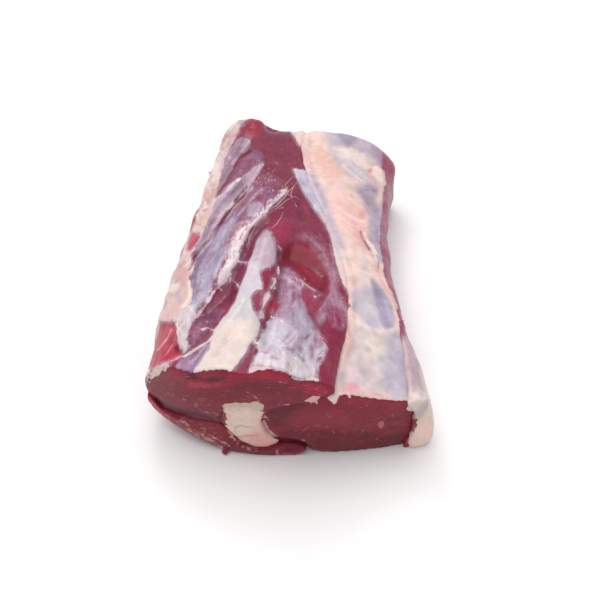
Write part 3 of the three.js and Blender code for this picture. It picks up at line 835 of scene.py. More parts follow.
# The fat slab over the eye, seen from above
SLAB = SEAM + EYE_EDGE + (
    area(FAT, "#ecccc3", "276,120 330,118 346,124 362,131 374,140 381,150 382,158 382,166 384,175"
         " 385,184 383,190 383,200 382,210 380,222 380,240 381,255 383,270 386,282 391,292 395,302"
         " 399,314 402,322 405,330 409,345 412,360 415,378 416,395 420,412 322,412 322,380 335,350"
         " 340,320 330,290 320,250 305,210 285,170 280,150", soft=4, ragged=2.4, lift=0.6),
    wash(FAT, "#dac6b9", "290,126 303,128 309,140 312,156 304,154 296,142", soft=10),
    wash(FAT, "#d9b3b2", "303,148 308,150 313,162 314,172 308,170 304,160", soft=6, opacity=0.8),
    wash(FAT, "#e3b5aa", "310,148 324,147 338,158 344,176 330,186 316,172", soft=14, opacity=0.8),
    wash(FAT, "#c5b9c6", "290,165 303,169 314,174 321,186 328,198 336,214 341,232 345,250 347,264"
         " 338,264 330,240 320,218 308,202 298,186", soft=9, opacity=0.9),
    wash(FAT, "#a89db8", "304,190 312,194 317,206 310,204", soft=7, opacity=0.8),
    wash(FAT, "#bcb0bf", "320,124 344,124 364,132 384,148 386,168 374,165 358,150 342,149 328,144",
         soft=11, opacity=0.95),
    wash(FAT, "#a092aa", "337,131 350,130 358,137 355,145 345,146 338,140"),
    wash(FAT, "#c9bdc7", "328,142 340,150 352,160 366,170 374,181 362,184 350,178 338,165 328,154",
         opacity=0.85),
    wash(FAT, "#ecd9d2", "332,148 346,148 360,153 368,161 371,169 360,166 348,160 338,154", soft=6),
    line(FAT, "#dacfd6", 1.4, "332,152 344,160 356,170 364,178", soft=3, opacity=0.7, lift=0.3),
    line(FAT, "#eddfda", 1.6, "343,166 350,173 358,179 364,183", soft=3, opacity=0.8, lift=0.4),
    wash(FAT, "#a88aa2", "368,140 386,150 388,170 381,172 376,158", soft=9),
    wash(FAT, "#a88aa2", "380,196 388,196 386,262 380,250", opacity=0.7),
    area(FAT, "#f3dbd0", "371,171 376,165 381,171 386,183 385,186 379,183 373,177", soft=2,
         ragged=1.6, lift=0.7),
    wash(FAT, "#e08d92", "366,171 370,169 373,171 370,174", soft=4, opacity=0.8),
    wash(FAT, "#b1a0b6", "355,187 361,185 368,182 375,183 379,188 379,196 374,201 366,202 358,198",
         soft=9, opacity=0.95),
    line(FAT, "#8f83a0", 1.2, "358,193 366,190 376,191", opacity=0.6, lift=-0.3),
    wash(FAT, "#b9a6b5", "359,201 372,201 381,206 381,226 372,227 365,214"),
    wash(FAT, "#a193a8", "372,206 379,208 380,222 374,222", soft=6, opacity=0.6),
    wash(FAT, "#f4c2bb", "328,194 342,195 353,202 363,211 368,229 352,233 338,229 331,212", soft=14,
         opacity=0.85),
    wash(FAT, "#ec9a9d", "357,212 362,210 365,214 364,220 360,217", soft=5, opacity=0.8),
    *creases_and_glints(FAT, "#e8959a", 1.0, "350,222 357,225 364,225", 0.6),
    line(FAT, "#fbe9e2", 1.4, "338,208 350,217 362,222", soft=4, opacity=0.6, lift=0.3),
    line(FAT, "#fbe9e2", 1.2, "336,216 346,222 356,228", soft=4, opacity=0.5, lift=0.3),
    wash(FAT, "#b3a6ba", "368,220 379,218 382,240 383,264 376,262 370,248 367,236", soft=7,
         opacity=0.9),
    wash(FAT, "#9a8eae", "374,224 378,226 379,244 375,242", soft=5, opacity=0.7),
    wash(FAT, "#eca9a7", "353,231 364,229 371,246 369,255 359,246", soft=7, opacity=0.8),
    line(FAT, "#f5ddd4", 2.6, "364,234 368,243 374,252 377,262", soft=3, lift=0.7),
    line(LEAN, "#a5525f", 1.0, "360,232 362,239 366,245 369,250", ragged=0.6, opacity=0.9,
         lift=-0.5),
    line(LEAN, "#cf7a86", 1.6, "376,256 378,262 378,269", ragged=0.6, opacity=0.7),
    wash(FAT, "#f6d8cf", "340,250 356,250 362,266 352,276 342,268", soft=9, opacity=0.8),
    wash(FAT, "#dccac9", "358,256 372,262 374,280 366,286 356,280", soft=12, opacity=0.5),
    wash(FAT, "#cfc5cf", "350,300 353,291 360,287 368,285 374,290 378,300 380,311 382,322 381,331"
         " 370,328 360,319 352,310", soft=5, opacity=0.95),
    wash(FAT, "#aea4bd", "351,297 356,291 360,293 358,302 354,305", soft=9, opacity=0.6),
    wash(FAT, "#e4dce0", "363,296 371,299 374,312 366,309", opacity=0.8),
    wash(FAT, "#b5abc1", "364,314 374,320 378,328 368,324", soft=7, opacity=0.6),
    wash(FAT, "#a9a0ba", "370,277 376,282 386,294 393,308 395,320 393,329 386,332 380,324 377,310"
         " 374,296 370,286", soft=5, opacity=0.9),
    line(FAT, "#958bab", 3.0, "376,286 381,300 385,314 387,324", soft=8, ragged=2.4, opacity=0.35),
    line(FAT, "#bdb5ca", 3.0, "385,302 390,314 391,322", soft=6, opacity=0.8),
    line(FAT, "#e6dbd9", 4.0, "358,322 368,329 380,333 393,331", soft=5, ragged=1.4, opacity=0.9,
         lift=0.7),
    line(FAT, "#e3b1ac", 2.6, "375,262 378,276 384,288 391,298 396,308 398,318", soft=3,
         opacity=0.9, lift=0.5),
    wash(FAT, "#d9c9c9", "336,322 380,336 392,352 384,404 330,404 336,360", soft=10),
    wash(FAT, "#e8d9d0", "362,337 384,336 388,350 377,360 364,354", soft=9),
    *creases_and_glints(FAT, "#f4ebe6", 1.4, "366,342 374,352", 0.5),
    wash(FAT, "#c4b9c6", "380,336 397,331 408,350 414,372 418,400 396,402 384,392 377,370 388,352",
         soft=13),
    wash(FAT, "#afa4b9", "397,348 406,358 411,380 413,396 404,394 399,374", soft=9, opacity=0.7),
    wash(FAT, "#e2cdcf", "346,352 366,358 380,368 378,390 356,386 344,380", soft=14, opacity=0.9),
    wash(FAT, "#cbb9c2", "356,362 372,370 374,380 360,376", soft=10, opacity=0.6),
    wash(FAT, "#e4c2bd", "340,322 352,324 355,340 350,358 339,374 336,350"),
    wash(FAT, "#dc8c96", "342,384 350,382 359,386 358,392 348,395 341,391", soft=7, opacity=0.8),
    wash(FAT, "#e0b2b4", "328,391 350,388 372,392 390,398 378,404 336,402", opacity=0.6),
    *creases_and_glints(FAT, "#d27d87", 1.2, "349,326 348,332 350,336|372,394 382,396", 0.7),
    # Three tiny pale dashes on the lower right of the slab: painted highlights of wet glints
    *creases_and_glints(FAT, "#ece6ee", 0.6, "395,385 397,386 398,389", 0.7),
    line(LEAN, "#8b6276", 1.6, "408,364 411,378 414,396", soft=3, opacity=0.8, lift=-0.5),
    area(LEAN, "#8f3450", "339,292 347,301 351,306 347,312 343,320 338,316", soft=4, ragged=2.4,
         opacity=0.85),
    area(LEAN, "#a04e68", "382,150 388,152 394,160 397,168 394,178 393,190 389,205 388,222"
         " 389,240 391,262 395,282 400,296 395,298 390,284 386,268 381,250 381,228 383,205 386,188"
         " 385,170", soft=5, opacity=0.9),
    area(FILM, "#9c5f74", "381,152 385,160 387,175 386,190 384,200 383,215 383,240 386,262"
         " 390,282 396,298 402,314 397,312 390,296 384,280 381,260 380,236 381,212 382,192 382,170",
         soft=7, opacity=0.4),
    area(LEAN, "#a04e68", "388,150 400,156 402,172 394,178 390,166", soft=4, opacity=0.5, lift=3.0),
    *swell(9.0, "391,182 391,189|388,214 388,219|387,235 387,241", -2.2),
    *swell(8.0, "394,165 395,169|391,199 390,204|389,225 389,228|388,252 389,262", 1.2),
    area(FAT, "#d9c3bf", "412,399 409,405 409,410 414,413 430,413 430,399", soft=2, ragged=3.0),
)

# The cut across the eye
EYE_CUT = HANGING_BITS + EYE_EDGE + (
    wash(LEAN, "#9a2038", "262,400 300,394 350,390 420,394 420,406 380,407 340,402 300,404", soft=5,
         opacity=0.8),
    wash(LEAN, "#6a1a2a", "264,404 302,400 304,410 292,422 270,430", soft=12),
    wash(LEAN, "#70091e", "276,428 320,430 400,434 412,440 400,452 300,452", soft=10),
    area(SHREDS, "#b7747c", "270,408 340,404 410,408 414,440 340,444 276,434", soft=4,
         opacity=0.11),
    area(FAT, "#c98680", "258,408 264,412 268,420 270,428 262,426", soft=6, ragged=3.6,
         opacity=0.5),
    area(FAT, "#c08a86", "262,420 266,424 272,430 278,435 282,440 276,443 268,440 262,430", soft=5,
         ragged=3.4, opacity=0.6),
    *creases_and_glints(FAT, "#c9a099", 1.1, "268,430 274,433 280,437|264,424 269,427|266,416 269,419", 0.6),
    wash(LEAN, "#952f42", "290,412 320,408 350,412 350,424 310,424 288,424", soft=12, opacity=0.6),
    line(LEAN, "#5a1626", 2.6, "383,420 391,419 399,418", soft=5, opacity=0.8, lift=-0.4),
    line(LEAN, "#5a1626", 3.0, "385,438 395,434 408,433", soft=5, opacity=0.8, lift=-0.5),
    line(LEAN, "#5a1626", 2.0, "388,428 398,426 410,427", soft=5, opacity=0.7, lift=-0.4),
    area(LEAN, "#561624", "362,432 368,431 370,436 364,439", soft=5, ragged=1.6, opacity=0.8,
         lift=-0.5),
    line(LEAN, "#4f1424", 4.0, "276,439 290,439 302,443 310,446", soft=4, lift=-1.0),
    line(FAT, "#b5646c", 1.5, "313,424 320,426 327,426 331,429 334,432", ragged=0.6, opacity=0.75),
    *creases_and_glints(FAT, "#ab646c", 1.1, "303,430 308,427 313,425|370,423 365,427 362,431|355,424"
             " 352,429|346,433 344,438|375,440 378,437 382,435|343,400 346,403|326,414 328,412"
             "|392,414 393,416|338,420 339,422", 0.65),
    area(FAT, "#b9606a", "378,421 384,421 384,424 381,426 381,430 379,427", soft=1.5, ragged=1.8,
         opacity=0.85, lift=0.6),
    line(FAT, "#b97f86", 1.4, "384,419 385,420", ragged=0.3, opacity=0.8),
    area(LEAN, "#c22c40", "258,412 262,407 268,405 266,412 262,417"),
    *creases_and_glints(FAT, "#b58880", 1.3, "303,439 309,442 315,446|306,446 311,448|298,438 303,440", 0.7),
    area(FAT, "#dcc6c2", "411,399 408,404 407,409 411,411 415,412 415,417 418,419 432,419 432,398",
         soft=1.5, ragged=2.0, lift=0.8, crisp=True),
)

# The wedge of fat between the muscles, at the cut
WEDGE_CUT = (
    wash(FAT, "#e9cbbc", "246,402 266,402 264,424 250,428", soft=10),
    wash(FAT, "#eba29b", "254,428 276,424 278,446 262,446 246,438", opacity=0.8),
    wash(FAT, "#e6b9b0", "256,414 264,416 266,430 256,430", soft=6, opacity=0.7),
    area(LEAN, "#8c3442", "218,400 224,403 224,410 227,415 225,421 229,427 235,435 244,441"
         " 248,446 258,447 272,446 276,452 240,454 222,440", ragged=4.0, opacity=0.9),
    area(LEAN, "#8a2a3a", "265,398 284,398 284,418 272,420 266,420 264,415 265,408", soft=3,
         ragged=3.0, opacity=0.9),
    area(SHREDS, "#f2e2d8", "224,404 262,404 266,440 240,438 226,424", soft=5, opacity=0.3),
    *creases_and_glints(FILM, "#a8968f", 1.0, "252,408 254,415 252,421|257,412 259,420", 0.5),
    *creases_and_glints(FILM, "#94827e", 0.9, "226,410 231,415 230,421 236,426 236,432|236,426 241,424"
             " 248,426 254,424|229,408 234,412 240,408|251,426 258,427", 0.5),
    line(FAT, "#cf9a92", 2.0, "238,436 248,434 260,434", soft=4, ragged=1.4),
    line(LEAN, "#b8505c", 2.0, "265,408 264,416 266,426 271,434", soft=3, ragged=2.4, opacity=0.6),
)

# The flap under the cap, at the cut
FLAP_CUT = (
    wash(LEAN, "#b03a50", "140,384 150,384 160,404 172,414 168,420 150,412 140,396", soft=4),
    area(FAT, "#b9847c", "222,404 227,408 228,418 233,426 242,436 252,441 268,443 276,444 274,446"
         " 250,443 238,438 228,431 222,421", soft=3, ragged=3.6, opacity=0.6),
    area(FAT, "#b57c70", "174,419 190,420 202,425 216,432 228,440 230,452 214,446 196,437 184,430",
         soft=5, ragged=4.0, opacity=0.22),
    area(LEAN, "#8c2c3c", "221,447 229,447 229,454 224,458", soft=2, lift=3.2, crisp=True),
    area(SHREDS, "#c98f88", "172,414 200,421 226,436 232,452 214,446 190,436 176,426", soft=4,
         opacity=0.3),
    *creases_and_glints(FAT, "#b97a74", 2.0, "178,421 184,422|184,427 192,430|198,431 204,436|208,436"
             " 214,441|194,434 200,438|172,418 176,422", 0.35),
    *creases_and_glints(FAT, "#cfa29c", 1.2, "180,419 186,421|190,430 196,433 200,436|205,438 212,441"
             "|206,428 203,434|213,437 219,439|221,441 228,443 230,446|222,430 226,434 231,437"
             "|216,443 222,446|187,424 190,426", 0.5),
    *creases_and_glints(LEAN, "#6a1a2a", 1.4, "176,424 184,428", 0.6),
    line(FAT, "#cfa09e", 1.8, "222,447 225,454", ragged=0.8),
    wash(LEAN, "#7c1a2e", "230,442 286,442 300,458 232,458", soft=6),
    line(FAT, "#b4646c", 2.6, "277,450 278,457", ragged=0.8),
    *creases_and_glints(FAT, "#b06870", 1.2, "247,446 249,452|238,442 236,450|252,449 257,451|242,450"
             " 246,454", 0.7),
    line(FAT, "#b58a90", 1.3, "270,437 285,438 296,439", ragged=0.8, opacity=0.7),
    area(LEAN, "#541422", "284,447 290,445 300,446 301,449 295,451 287,451", soft=4, ragged=3.0,
         opacity=0.85, lift=-1.4),
    *creases_and_glints(FAT, "#b8767c", 1.6, "277,441 288,440 299,441 306,446|283,454 292,455 301,453", 0.6),
    *creases_and_glints(FAT, "#c98e8c", 2.0, "238,438 243,446|246,441 250,449|256,442 257,449|262,442"
             " 267,448|230,432 235,440|270,441 277,446|226,424 230,432", 0.6),
    *creases_and_glints(LEAN, "#b4545f", 2.4, "280,443 290,441 302,442 308,447|284,454 296,455 306,452", 0.7),
    *creases_and_glints(FAT, "#b77a80", 1.0, "296,441 304,443 309,448", 0.6),
)

# The fat at the lower right of the eye
SIDE_FAT_OUTSIDE = (
    wash(FAT, "#bda6ac", "390,296 412,300 420,372 414,396 404,350"),
    line(FILM, "#a88fa0", 2.0, "409,356 412,372 414,392", soft=4, opacity=0.6, lift=-0.5),
    line(FILM, "#a898a4", 2.4, "414,360 418,378 421,396", soft=4, opacity=0.6),
    line(FILM, "#b9a8b0", 1.4, "418,372 421,384 425,398", soft=3, opacity=0.5),
    wash(FAT, "#dcc8ba", "421,380 436,404 438,420 428,410 420,396", soft=6),
)

SIDE_FAT_CUT = EYE_EDGE + (
    wash(FAT, "#dccdc9", "405,398 428,392 436,410 420,412 408,412", soft=6),
    area(FILM, "#b8a7ac", "414,412 420,403 427,399 427,406 423,414 419,419 414,418", soft=4,
         opacity=0.7, lift=0.4),
    line(FAT, "#c9b5b0", 1.2, "416,411 421,405 427,401", ragged=0.6, lift=-0.5),
    wash(FAT, "#f0d0c4", "409,428 432,418 426,448 408,450"),
    area(LEAN, "#8f3040", "398,411 411,411 415,412 415,417 418,418 417,424 415,430 412,432"
         " 411,438 409,443 409,450 398,452", soft=2, ragged=2.4),
    area(LEAN, "#8f3040", "398,441 412,441 412,453 398,453", opacity=0.0, lift=-3.0),
)

# The threads of the torn ridge and its loose ends
THREAD_PATHS = (
    "271,317 280,319 291,325", "255,341 264,349 274,351",
    "293,176 289,181 285,185 287,190 288,194", "297,182 293,187 291,193 292,197 296,197 299,200",
    "295,203 296,205 297,207", "288,194 291,196 293,199",
    "287,190 280,195 274,200 268,206", "288,194 282,200 276,206 268,211",
    "289,186 284,190 278,196", "286,193 290,190 294,186",
    "276,208 280,208 284,207", "292,197 286,201 278,207 270,213",
    "283,212 280,220 275,226 271,229",
    "232,280 236,283 239,288", "236,262 242,262 249,263", "266,205 260,211 252,218 246,226",
    "262,216 252,225 246,236 242,246", "258,222 248,230 240,242 236,254", "256,226 250,236 247,248",
    "234,262 229,270 226,280", "231,266 224,276 219,284",
    "188,268 197,257 206,246 213,236", "197,296 201,304 206,298",
)


class Skin:
    """The vertices and edges of a mesh as arrays, for smoothing and raising.

    Attributes:
        mesh: The mesh.
        place: Vertex places in metres.
        ends: The vertices that each edge joins, once in each order.
        degree: How many neighbours each vertex has.
    """

    def __init__(self, mesh: bpy.types.Mesh) -> None:
        """Reads the mesh.

        Args:
            mesh: The mesh to work on.
        """
        self.mesh = mesh
        count = len(mesh.vertices)
        flat = np.zeros(count * 3)
        mesh.vertices.foreach_get("co", flat)
        self.place = flat.reshape(-1, 3)
        pairs = np.zeros(len(mesh.edges) * 2, dtype=np.int64)
        mesh.edges.foreach_get("vertices", pairs)
        pairs = pairs.reshape(-1, 2)
        self.ends = np.concatenate([pairs, pairs[:, ::-1]])
        self.degree = np.maximum(np.bincount(self.ends[:, 0], minlength=count), 1)

    def around(self, values: np.ndarray, rounds: int = 1) -> np.ndarray:
        """Each vertex's values turned into the mean of its neighbours', round after round.

        Args:
            values: One value or one row of values for each vertex.
            rounds: How many times.

        Returns:
            The means, in the same shape.
        """
        for _ in range(rounds):
            if values.ndim == 1:
                total = np.bincount(self.ends[:, 0], values[self.ends[:, 1]], len(self.degree))
                values = total / self.degree
            else:
                values = np.stack([self.around(column) for column in values.T], 1)
        return values

    def settle(self, rounds: int, weight: np.ndarray) -> None:
        """Moves each vertex halfway to its neighbours, which rounds the surface off."""
        for _ in range(rounds):
            self.place += (self.around(self.place) - self.place) * (weight * 0.5)[:, None]

    def write(self) -> np.ndarray:
        """Writes the places into the mesh.

        Returns:
            The new vertex normals.
        """
        self.mesh.vertices.foreach_set("co", self.place.ravel())
        self.mesh.update()
        flat = np.zeros(len(self.place) * 3)
        self.mesh.vertex_normals.foreach_get("vector", flat)
        return flat.reshape(-1, 3)


class MarkPainter:
    """Lays marks on the vertices of one piece.

    Attributes:
        skin: The piece's vertices and edges.
        place: Vertex places in metres, before they are raised.
        normal: Vertex normals.
        pixel: Where each vertex falls in the picture.
        tints: The colour of each tissue at each vertex.
        film: How far film covers each vertex.
        fat: How far fat covers each vertex.
        shreds: How thickly torn shreds lie at each vertex.
        lift: How far each vertex is to be raised, in millimetres.
        cut: How far each vertex belongs to a cut, the near or the far one.
        outer: How far it belongs to the outside.
        squareness: How squarely it faces the camera, from 0 to 1.
        gates: How far the marks of each face reach it.
    """

    def __init__(self, skin: Skin, camera: PhotoCamera) -> None:
        """Starts with bare lean.

        Args:
            skin: The piece's vertices and edges.
            camera: The camera whose pixels the marks are read in.
        """
        self.skin, self.normal = skin, skin.write()
        self.place = skin.place.copy()
        self.pixel = camera.pixels(self.place)
        count = len(self.place)
        self.tints = {tissue: np.zeros((count, 3)) for tissue in Tissue}
        self.film, self.fat, self.shreds, self.lift = np.zeros((4, count))
        depth, turn = self.place[:, 1], self.normal[:, 1]
        near = smoothstep(-turn, *NEAR_CUT_TURN) * smoothstep(-depth, *CUT_PLACE)
        far = smoothstep(turn, *FAR_CUT_TURN) * smoothstep(depth, *CUT_PLACE)
        self.cut = near + far
        self.outer = 1.0 - self.cut
        facing = camera.facing(self.place, self.normal)
        self.squareness = np.clip(facing * SQUARE_GAIN, 0.0, 1.0) ** SQUARE_POWER
        self.gates = {Face.OUTSIDE: smoothstep(facing, *SEEN) * self.outer, Face.CUT: near}

    def base(self, tissue: Tissue, colour: str) -> None:
        """Gives a tissue one colour all over."""
        self.tints[tissue][:] = linear(colour)

    def blend(self, tissue: Tissue, colour: str, weight: np.ndarray) -> None:
        """Turns a tissue towards a colour by a weight for each vertex."""
        tint = self.tints[tissue]
        tint += (linear(colour) - tint) * np.clip(weight, 0.0, 1.0)[:, None]

    def cover(self, tissue: Tissue, weight: np.ndarray, amount: float = 1.0) -> None:
        """Covers the vertices with a tissue.

        Args:
            tissue: Lean lays the surface bare, fat covers film, and film and shreds cover both.
            weight: How much of the change each vertex takes.
            amount: How opaque the tissue is.
        """
        share = np.clip(weight, 0.0, 1.0)
        if tissue is SHREDS:
            self.shreds += (amount - self.shreds) * share
            return
        if tissue is FILM:
            self.film += (amount - self.film) * share
            return
        self.film *= 1.0 - share * amount
        goal = 1.0 if tissue is FAT else 0.0
        self.fat += (goal - self.fat) * share * amount

    def present(self, tissue: Tissue) -> np.ndarray:
        """How far a tissue already shows at each vertex."""
        shown = {SHREDS: self.shreds, FILM: self.film, FAT: self.fat, LEAN: 1.0 - self.fat}
        return np.clip(shown[tissue], 0.0, 1.0)

    def lay(self, mark: Mark, face: Face, seed: int) -> None:
        """Lays one mark on the vertices that show it.

        Args:
            mark: The mark.
            face: The face that it is laid on.
            seed: Picks how its edge wanders.
        """
        points, gate = mark.points(), self.gates[face]
        reach = mark.width + mark.soft + REACH_MARGIN
        low, high = points.min(0) - reach, points.max(0) + reach
        close = np.all((self.pixel > low) & (self.pixel < high), axis=1) & (gate > LEAST_GATE)
        near = np.nonzero(close)[0]
        if not len(near):
            return
        place, gate, half = self.place[near], gate[near], mark.soft / 2
        distance = mark.distance(self.pixel[near], points)
        wander = cloud(place, RAG_SIZE, seed)
        wander = wander + FINE_RAG * cloud(place, FINE_RAG_SIZE, seed + FINE_RAG_SEED)
        distance += mark.ragged * wander * self.squareness[near]
        weight = smoothstep(-distance, -half, half) * gate
        wide = smoothstep(TINT_MARGIN - distance, -half, half) * gate
        there = 1.0 if mark.tint_only else self.present(mark.tissue)[near]
        share = weight * mark.opacity * there + wide * (1.0 - there)
        tint = self.tints[mark.tissue]
        tint[near] += (linear(mark.colour) - tint[near]) * share[:, None]
        if mark.tint_only:
            return
        full = np.zeros(len(self.film))
        full[near] = weight
        self.cover(mark.tissue, full, mark.opacity)
        slope = (CRISP_LIFT_SOFT if mark.crisp else LIFT_SOFT) / 2
        rise = smoothstep(-distance, -slope, slope) * gate
        share = 1.0 if mark.crisp else LIFT_SHARE
        lumps = 1.0 + LIFT_LUMPS * cloud(place, RAG_SIZE, seed + LUMP_SEED)
        self.lift[near] += mark.lift * share * rise * lumps


@dataclass(frozen=True)
class Blotch:
    """What a strong noise does to a piece: a tissue takes a colour there, or covers it.

    Attributes:
        tissue: The tissue.
        amount: How far it takes the colour, or how opaque it lies.
        start: The noise at which this begins.
        full: The noise at which it is complete.
        colour: The colour, or nothing if the tissue covers.
    """

    tissue: Tissue
    amount: float
    start: float
    full: float
    colour: str = ""

    def lay(
        self, painter: MarkPainter, noise: np.ndarray, where: float | np.ndarray = 1.0
    ) -> None:
        """Lays it on a piece.

        Args:
            painter: The piece's painter.
            noise: The noise at each vertex.
            where: How far each vertex takes part.
        """
        share = where * smoothstep(noise, self.start, self.full)
        if self.colour:
            painter.blend(self.tissue, self.colour, self.amount * share)
        else:
            painter.cover(self.tissue, share, self.amount)


# The noises of every piece, lengths in metres and heights in millimetres
LUMPS = Noise(1, 0.016, 0.45, cloudy=True)
FAT_LUMPS = Noise(2, 0.0075, 0.45, cloudy=True)
BEND = Noise(3, 0.012, 0.003)
BUNDLES = Noise(4, (0.0042, 0.02, 0.0042))
FINE_LUMPS = Noise(5, 0.0045, 0.14, cloudy=True)
VEIL = Noise(41, (0.0034, 0.02, 0.0034), 0.6)
VEIL_CLOUD = Noise(42, 0.008, 0.7, cloudy=True)
THIN = Noise(43, (0.0026, 0.014, 0.0026), 0.7)
THIN_CLOUD = Noise(44, 0.005, 0.5, cloudy=True)
BLOTS = Noise(45, 0.010, cloudy=True)
SPECKS = Noise(46, 0.006, cloudy=True)
DEPTH = Noise(47, 0.012, cloudy=True)
SPECKS_IN_DEPTH = 0.3

# The blotches of every piece, and how far film thins where its noise is strong
PALE_VEIL = Blotch(FILM, 0.32, 0.15, 1.0, "#ddcfd9")
DARK_VEIL = Blotch(FILM, 0.50, 0.1, 1.0, "#845574")
PINK_BLOTS = Blotch(FAT, 0.20, 0.2, 0.9, "#e0a8a4")
GREY_BLOTS = Blotch(FAT, 0.25, 0.2, 0.9, "#cdb9c3")
WHITE_SPECKS = Blotch(FAT, 0.25, 0.3, 1.0, "#fbf1ec")
DARK_LEAN = Blotch(LEAN, 0.35, 0.1, 1.0, "#5f1c30")
LIGHT_LEAN = Blotch(LEAN, 0.30, 0.1, 1.0, "#a04862")
WISPS = Blotch(FILM, 0.3, 1.0, 1.5)
THINNING = 0.38
THIN_BAND = (-0.1, 0.8)

# The cap's left flank, fat at the back and raw lean in front
BROAD_PATCHES = Noise(11, 0.02, cloudy=True)
LEFT_TURN = (0.25, 0.6)
RAW_END = (-0.075, -0.045)
RAW_END_WANDER = 0.012
FLANK_PINK = Blotch(FAT, 0.6, 0.1, 0.8, "#cf9f9b")
FLANK_PATCHES = Blotch(FAT, 0.9, 0.35, 0.6)

# The eye's flank and underside
EYE_STREAKS = Noise(11, (0.007, 0.022, 0.007), 0.6)
EYE_PATCHES = Noise(12, 0.014, 0.8, cloudy=True)
EYE_BEND = Noise(13, 0.02, 0.006)
UNDER_TURN = (0.3, 0.7)
EYE_FILM = Blotch(FILM, 0.6, -0.7, 1.0)
EYE_FAT = Blotch(FAT, 0.95, 0.1, 0.35)

# The flap's mottling
FLAP_PATCHES = Noise(11, 0.017, cloudy=True)
FLAP_SPECKS = Noise(12, 0.0045, cloudy=True)
FLAP_GRAINS = Noise(13, 0.0045, 0.4)
FLAP_TURN = (-0.2, 0.7)
FLAP_TURN_WANDER = 0.3
FLAP_FAT = Blotch(FAT, 0.8, -0.2, 0.5)
FLAP_CUT_FAT = Blotch(FAT, 0.5, 0.3, 0.8)

# The layers of fat, and where they end in lean along the flank
GREY_PATCHES = Noise(12, 0.016, cloudy=True)
FAT_STREAKS = Noise(13, 0.026, cloudy=True)
LAYER_PINK = Blotch(FAT, 0.7, 0.0, 0.8, "#cfa7a2")
LAYER_GREY = Blotch(FAT, 0.6, 0.1, 0.9, "#b9a4ad")
LAYER_FILM = Blotch(FILM, 0.7, -0.1, 0.6)
FAT_END = (-0.088, -0.076)
FAT_END_WANDER = 0.02
FAT_END_COVER = 0.85


@dataclass(frozen=True)
class Pattern:
    """A noise that a finish is made of.

    Attributes:
        scale: How many of its cells lie along a metre.
        detail: How many finer noises are added to it.
        along: Its scale along the fibres, as a share of the scale across them.
    """

    scale: float
    detail: float
    along: float = 1.0


# The patterns of the finishes, and bands in which a value rises from empty to full
COARSE = Pattern(260.0, 3.0)
FINE = Pattern(1100.0, 2.0)
STREAK = Pattern(750.0, 3.0, 0.12)
BROAD = Pattern(300.0, 2.0, 0.16)
SPARSE = Pattern(90.0, 2.0)
HAIRS = Pattern(240.0, 2.0, 0.13)
WEB = Pattern(150.0, 3.0)
TORN_BITS = Pattern(640.0, 4.0, 0.3)
LUMPY = Pattern(380.0, 4.0)
THREAD_BLOTS = Pattern(240.0, 2.0)
NOISE_ROUGHNESS = 0.6
NOISE_BAND = (0.3, 0.7)
WARP_SCALE = 90.0
WARP_REACH = 0.0035
BUNDLE_SCALE = 480.0
BUNDLE_LENGTH = 0.3
GAP_SHADE = (0.0, 0.35, 0.25, 0.75)
SPARSE_BAND = (0.48, 0.66)
HAIR_WIDTH = 0.012
WEB_WIDTH = 0.009
FAT_EDGE = (0.38, 0.62)
FILM_EDGE = (0.02, 0.98)
MIDDLE_GAIN = 4.0
TORN_GAIN = 0.3
TORN_BAND = (0.62, 0.80)
TORN_COVER = (0.02, 0.2, 0.0, 0.75)
TORN_HEIGHT = 0.7
THREAD_HEIGHT = 0.5
THREAD_PINK = (0.45, 0.7, 0.0, 0.8)


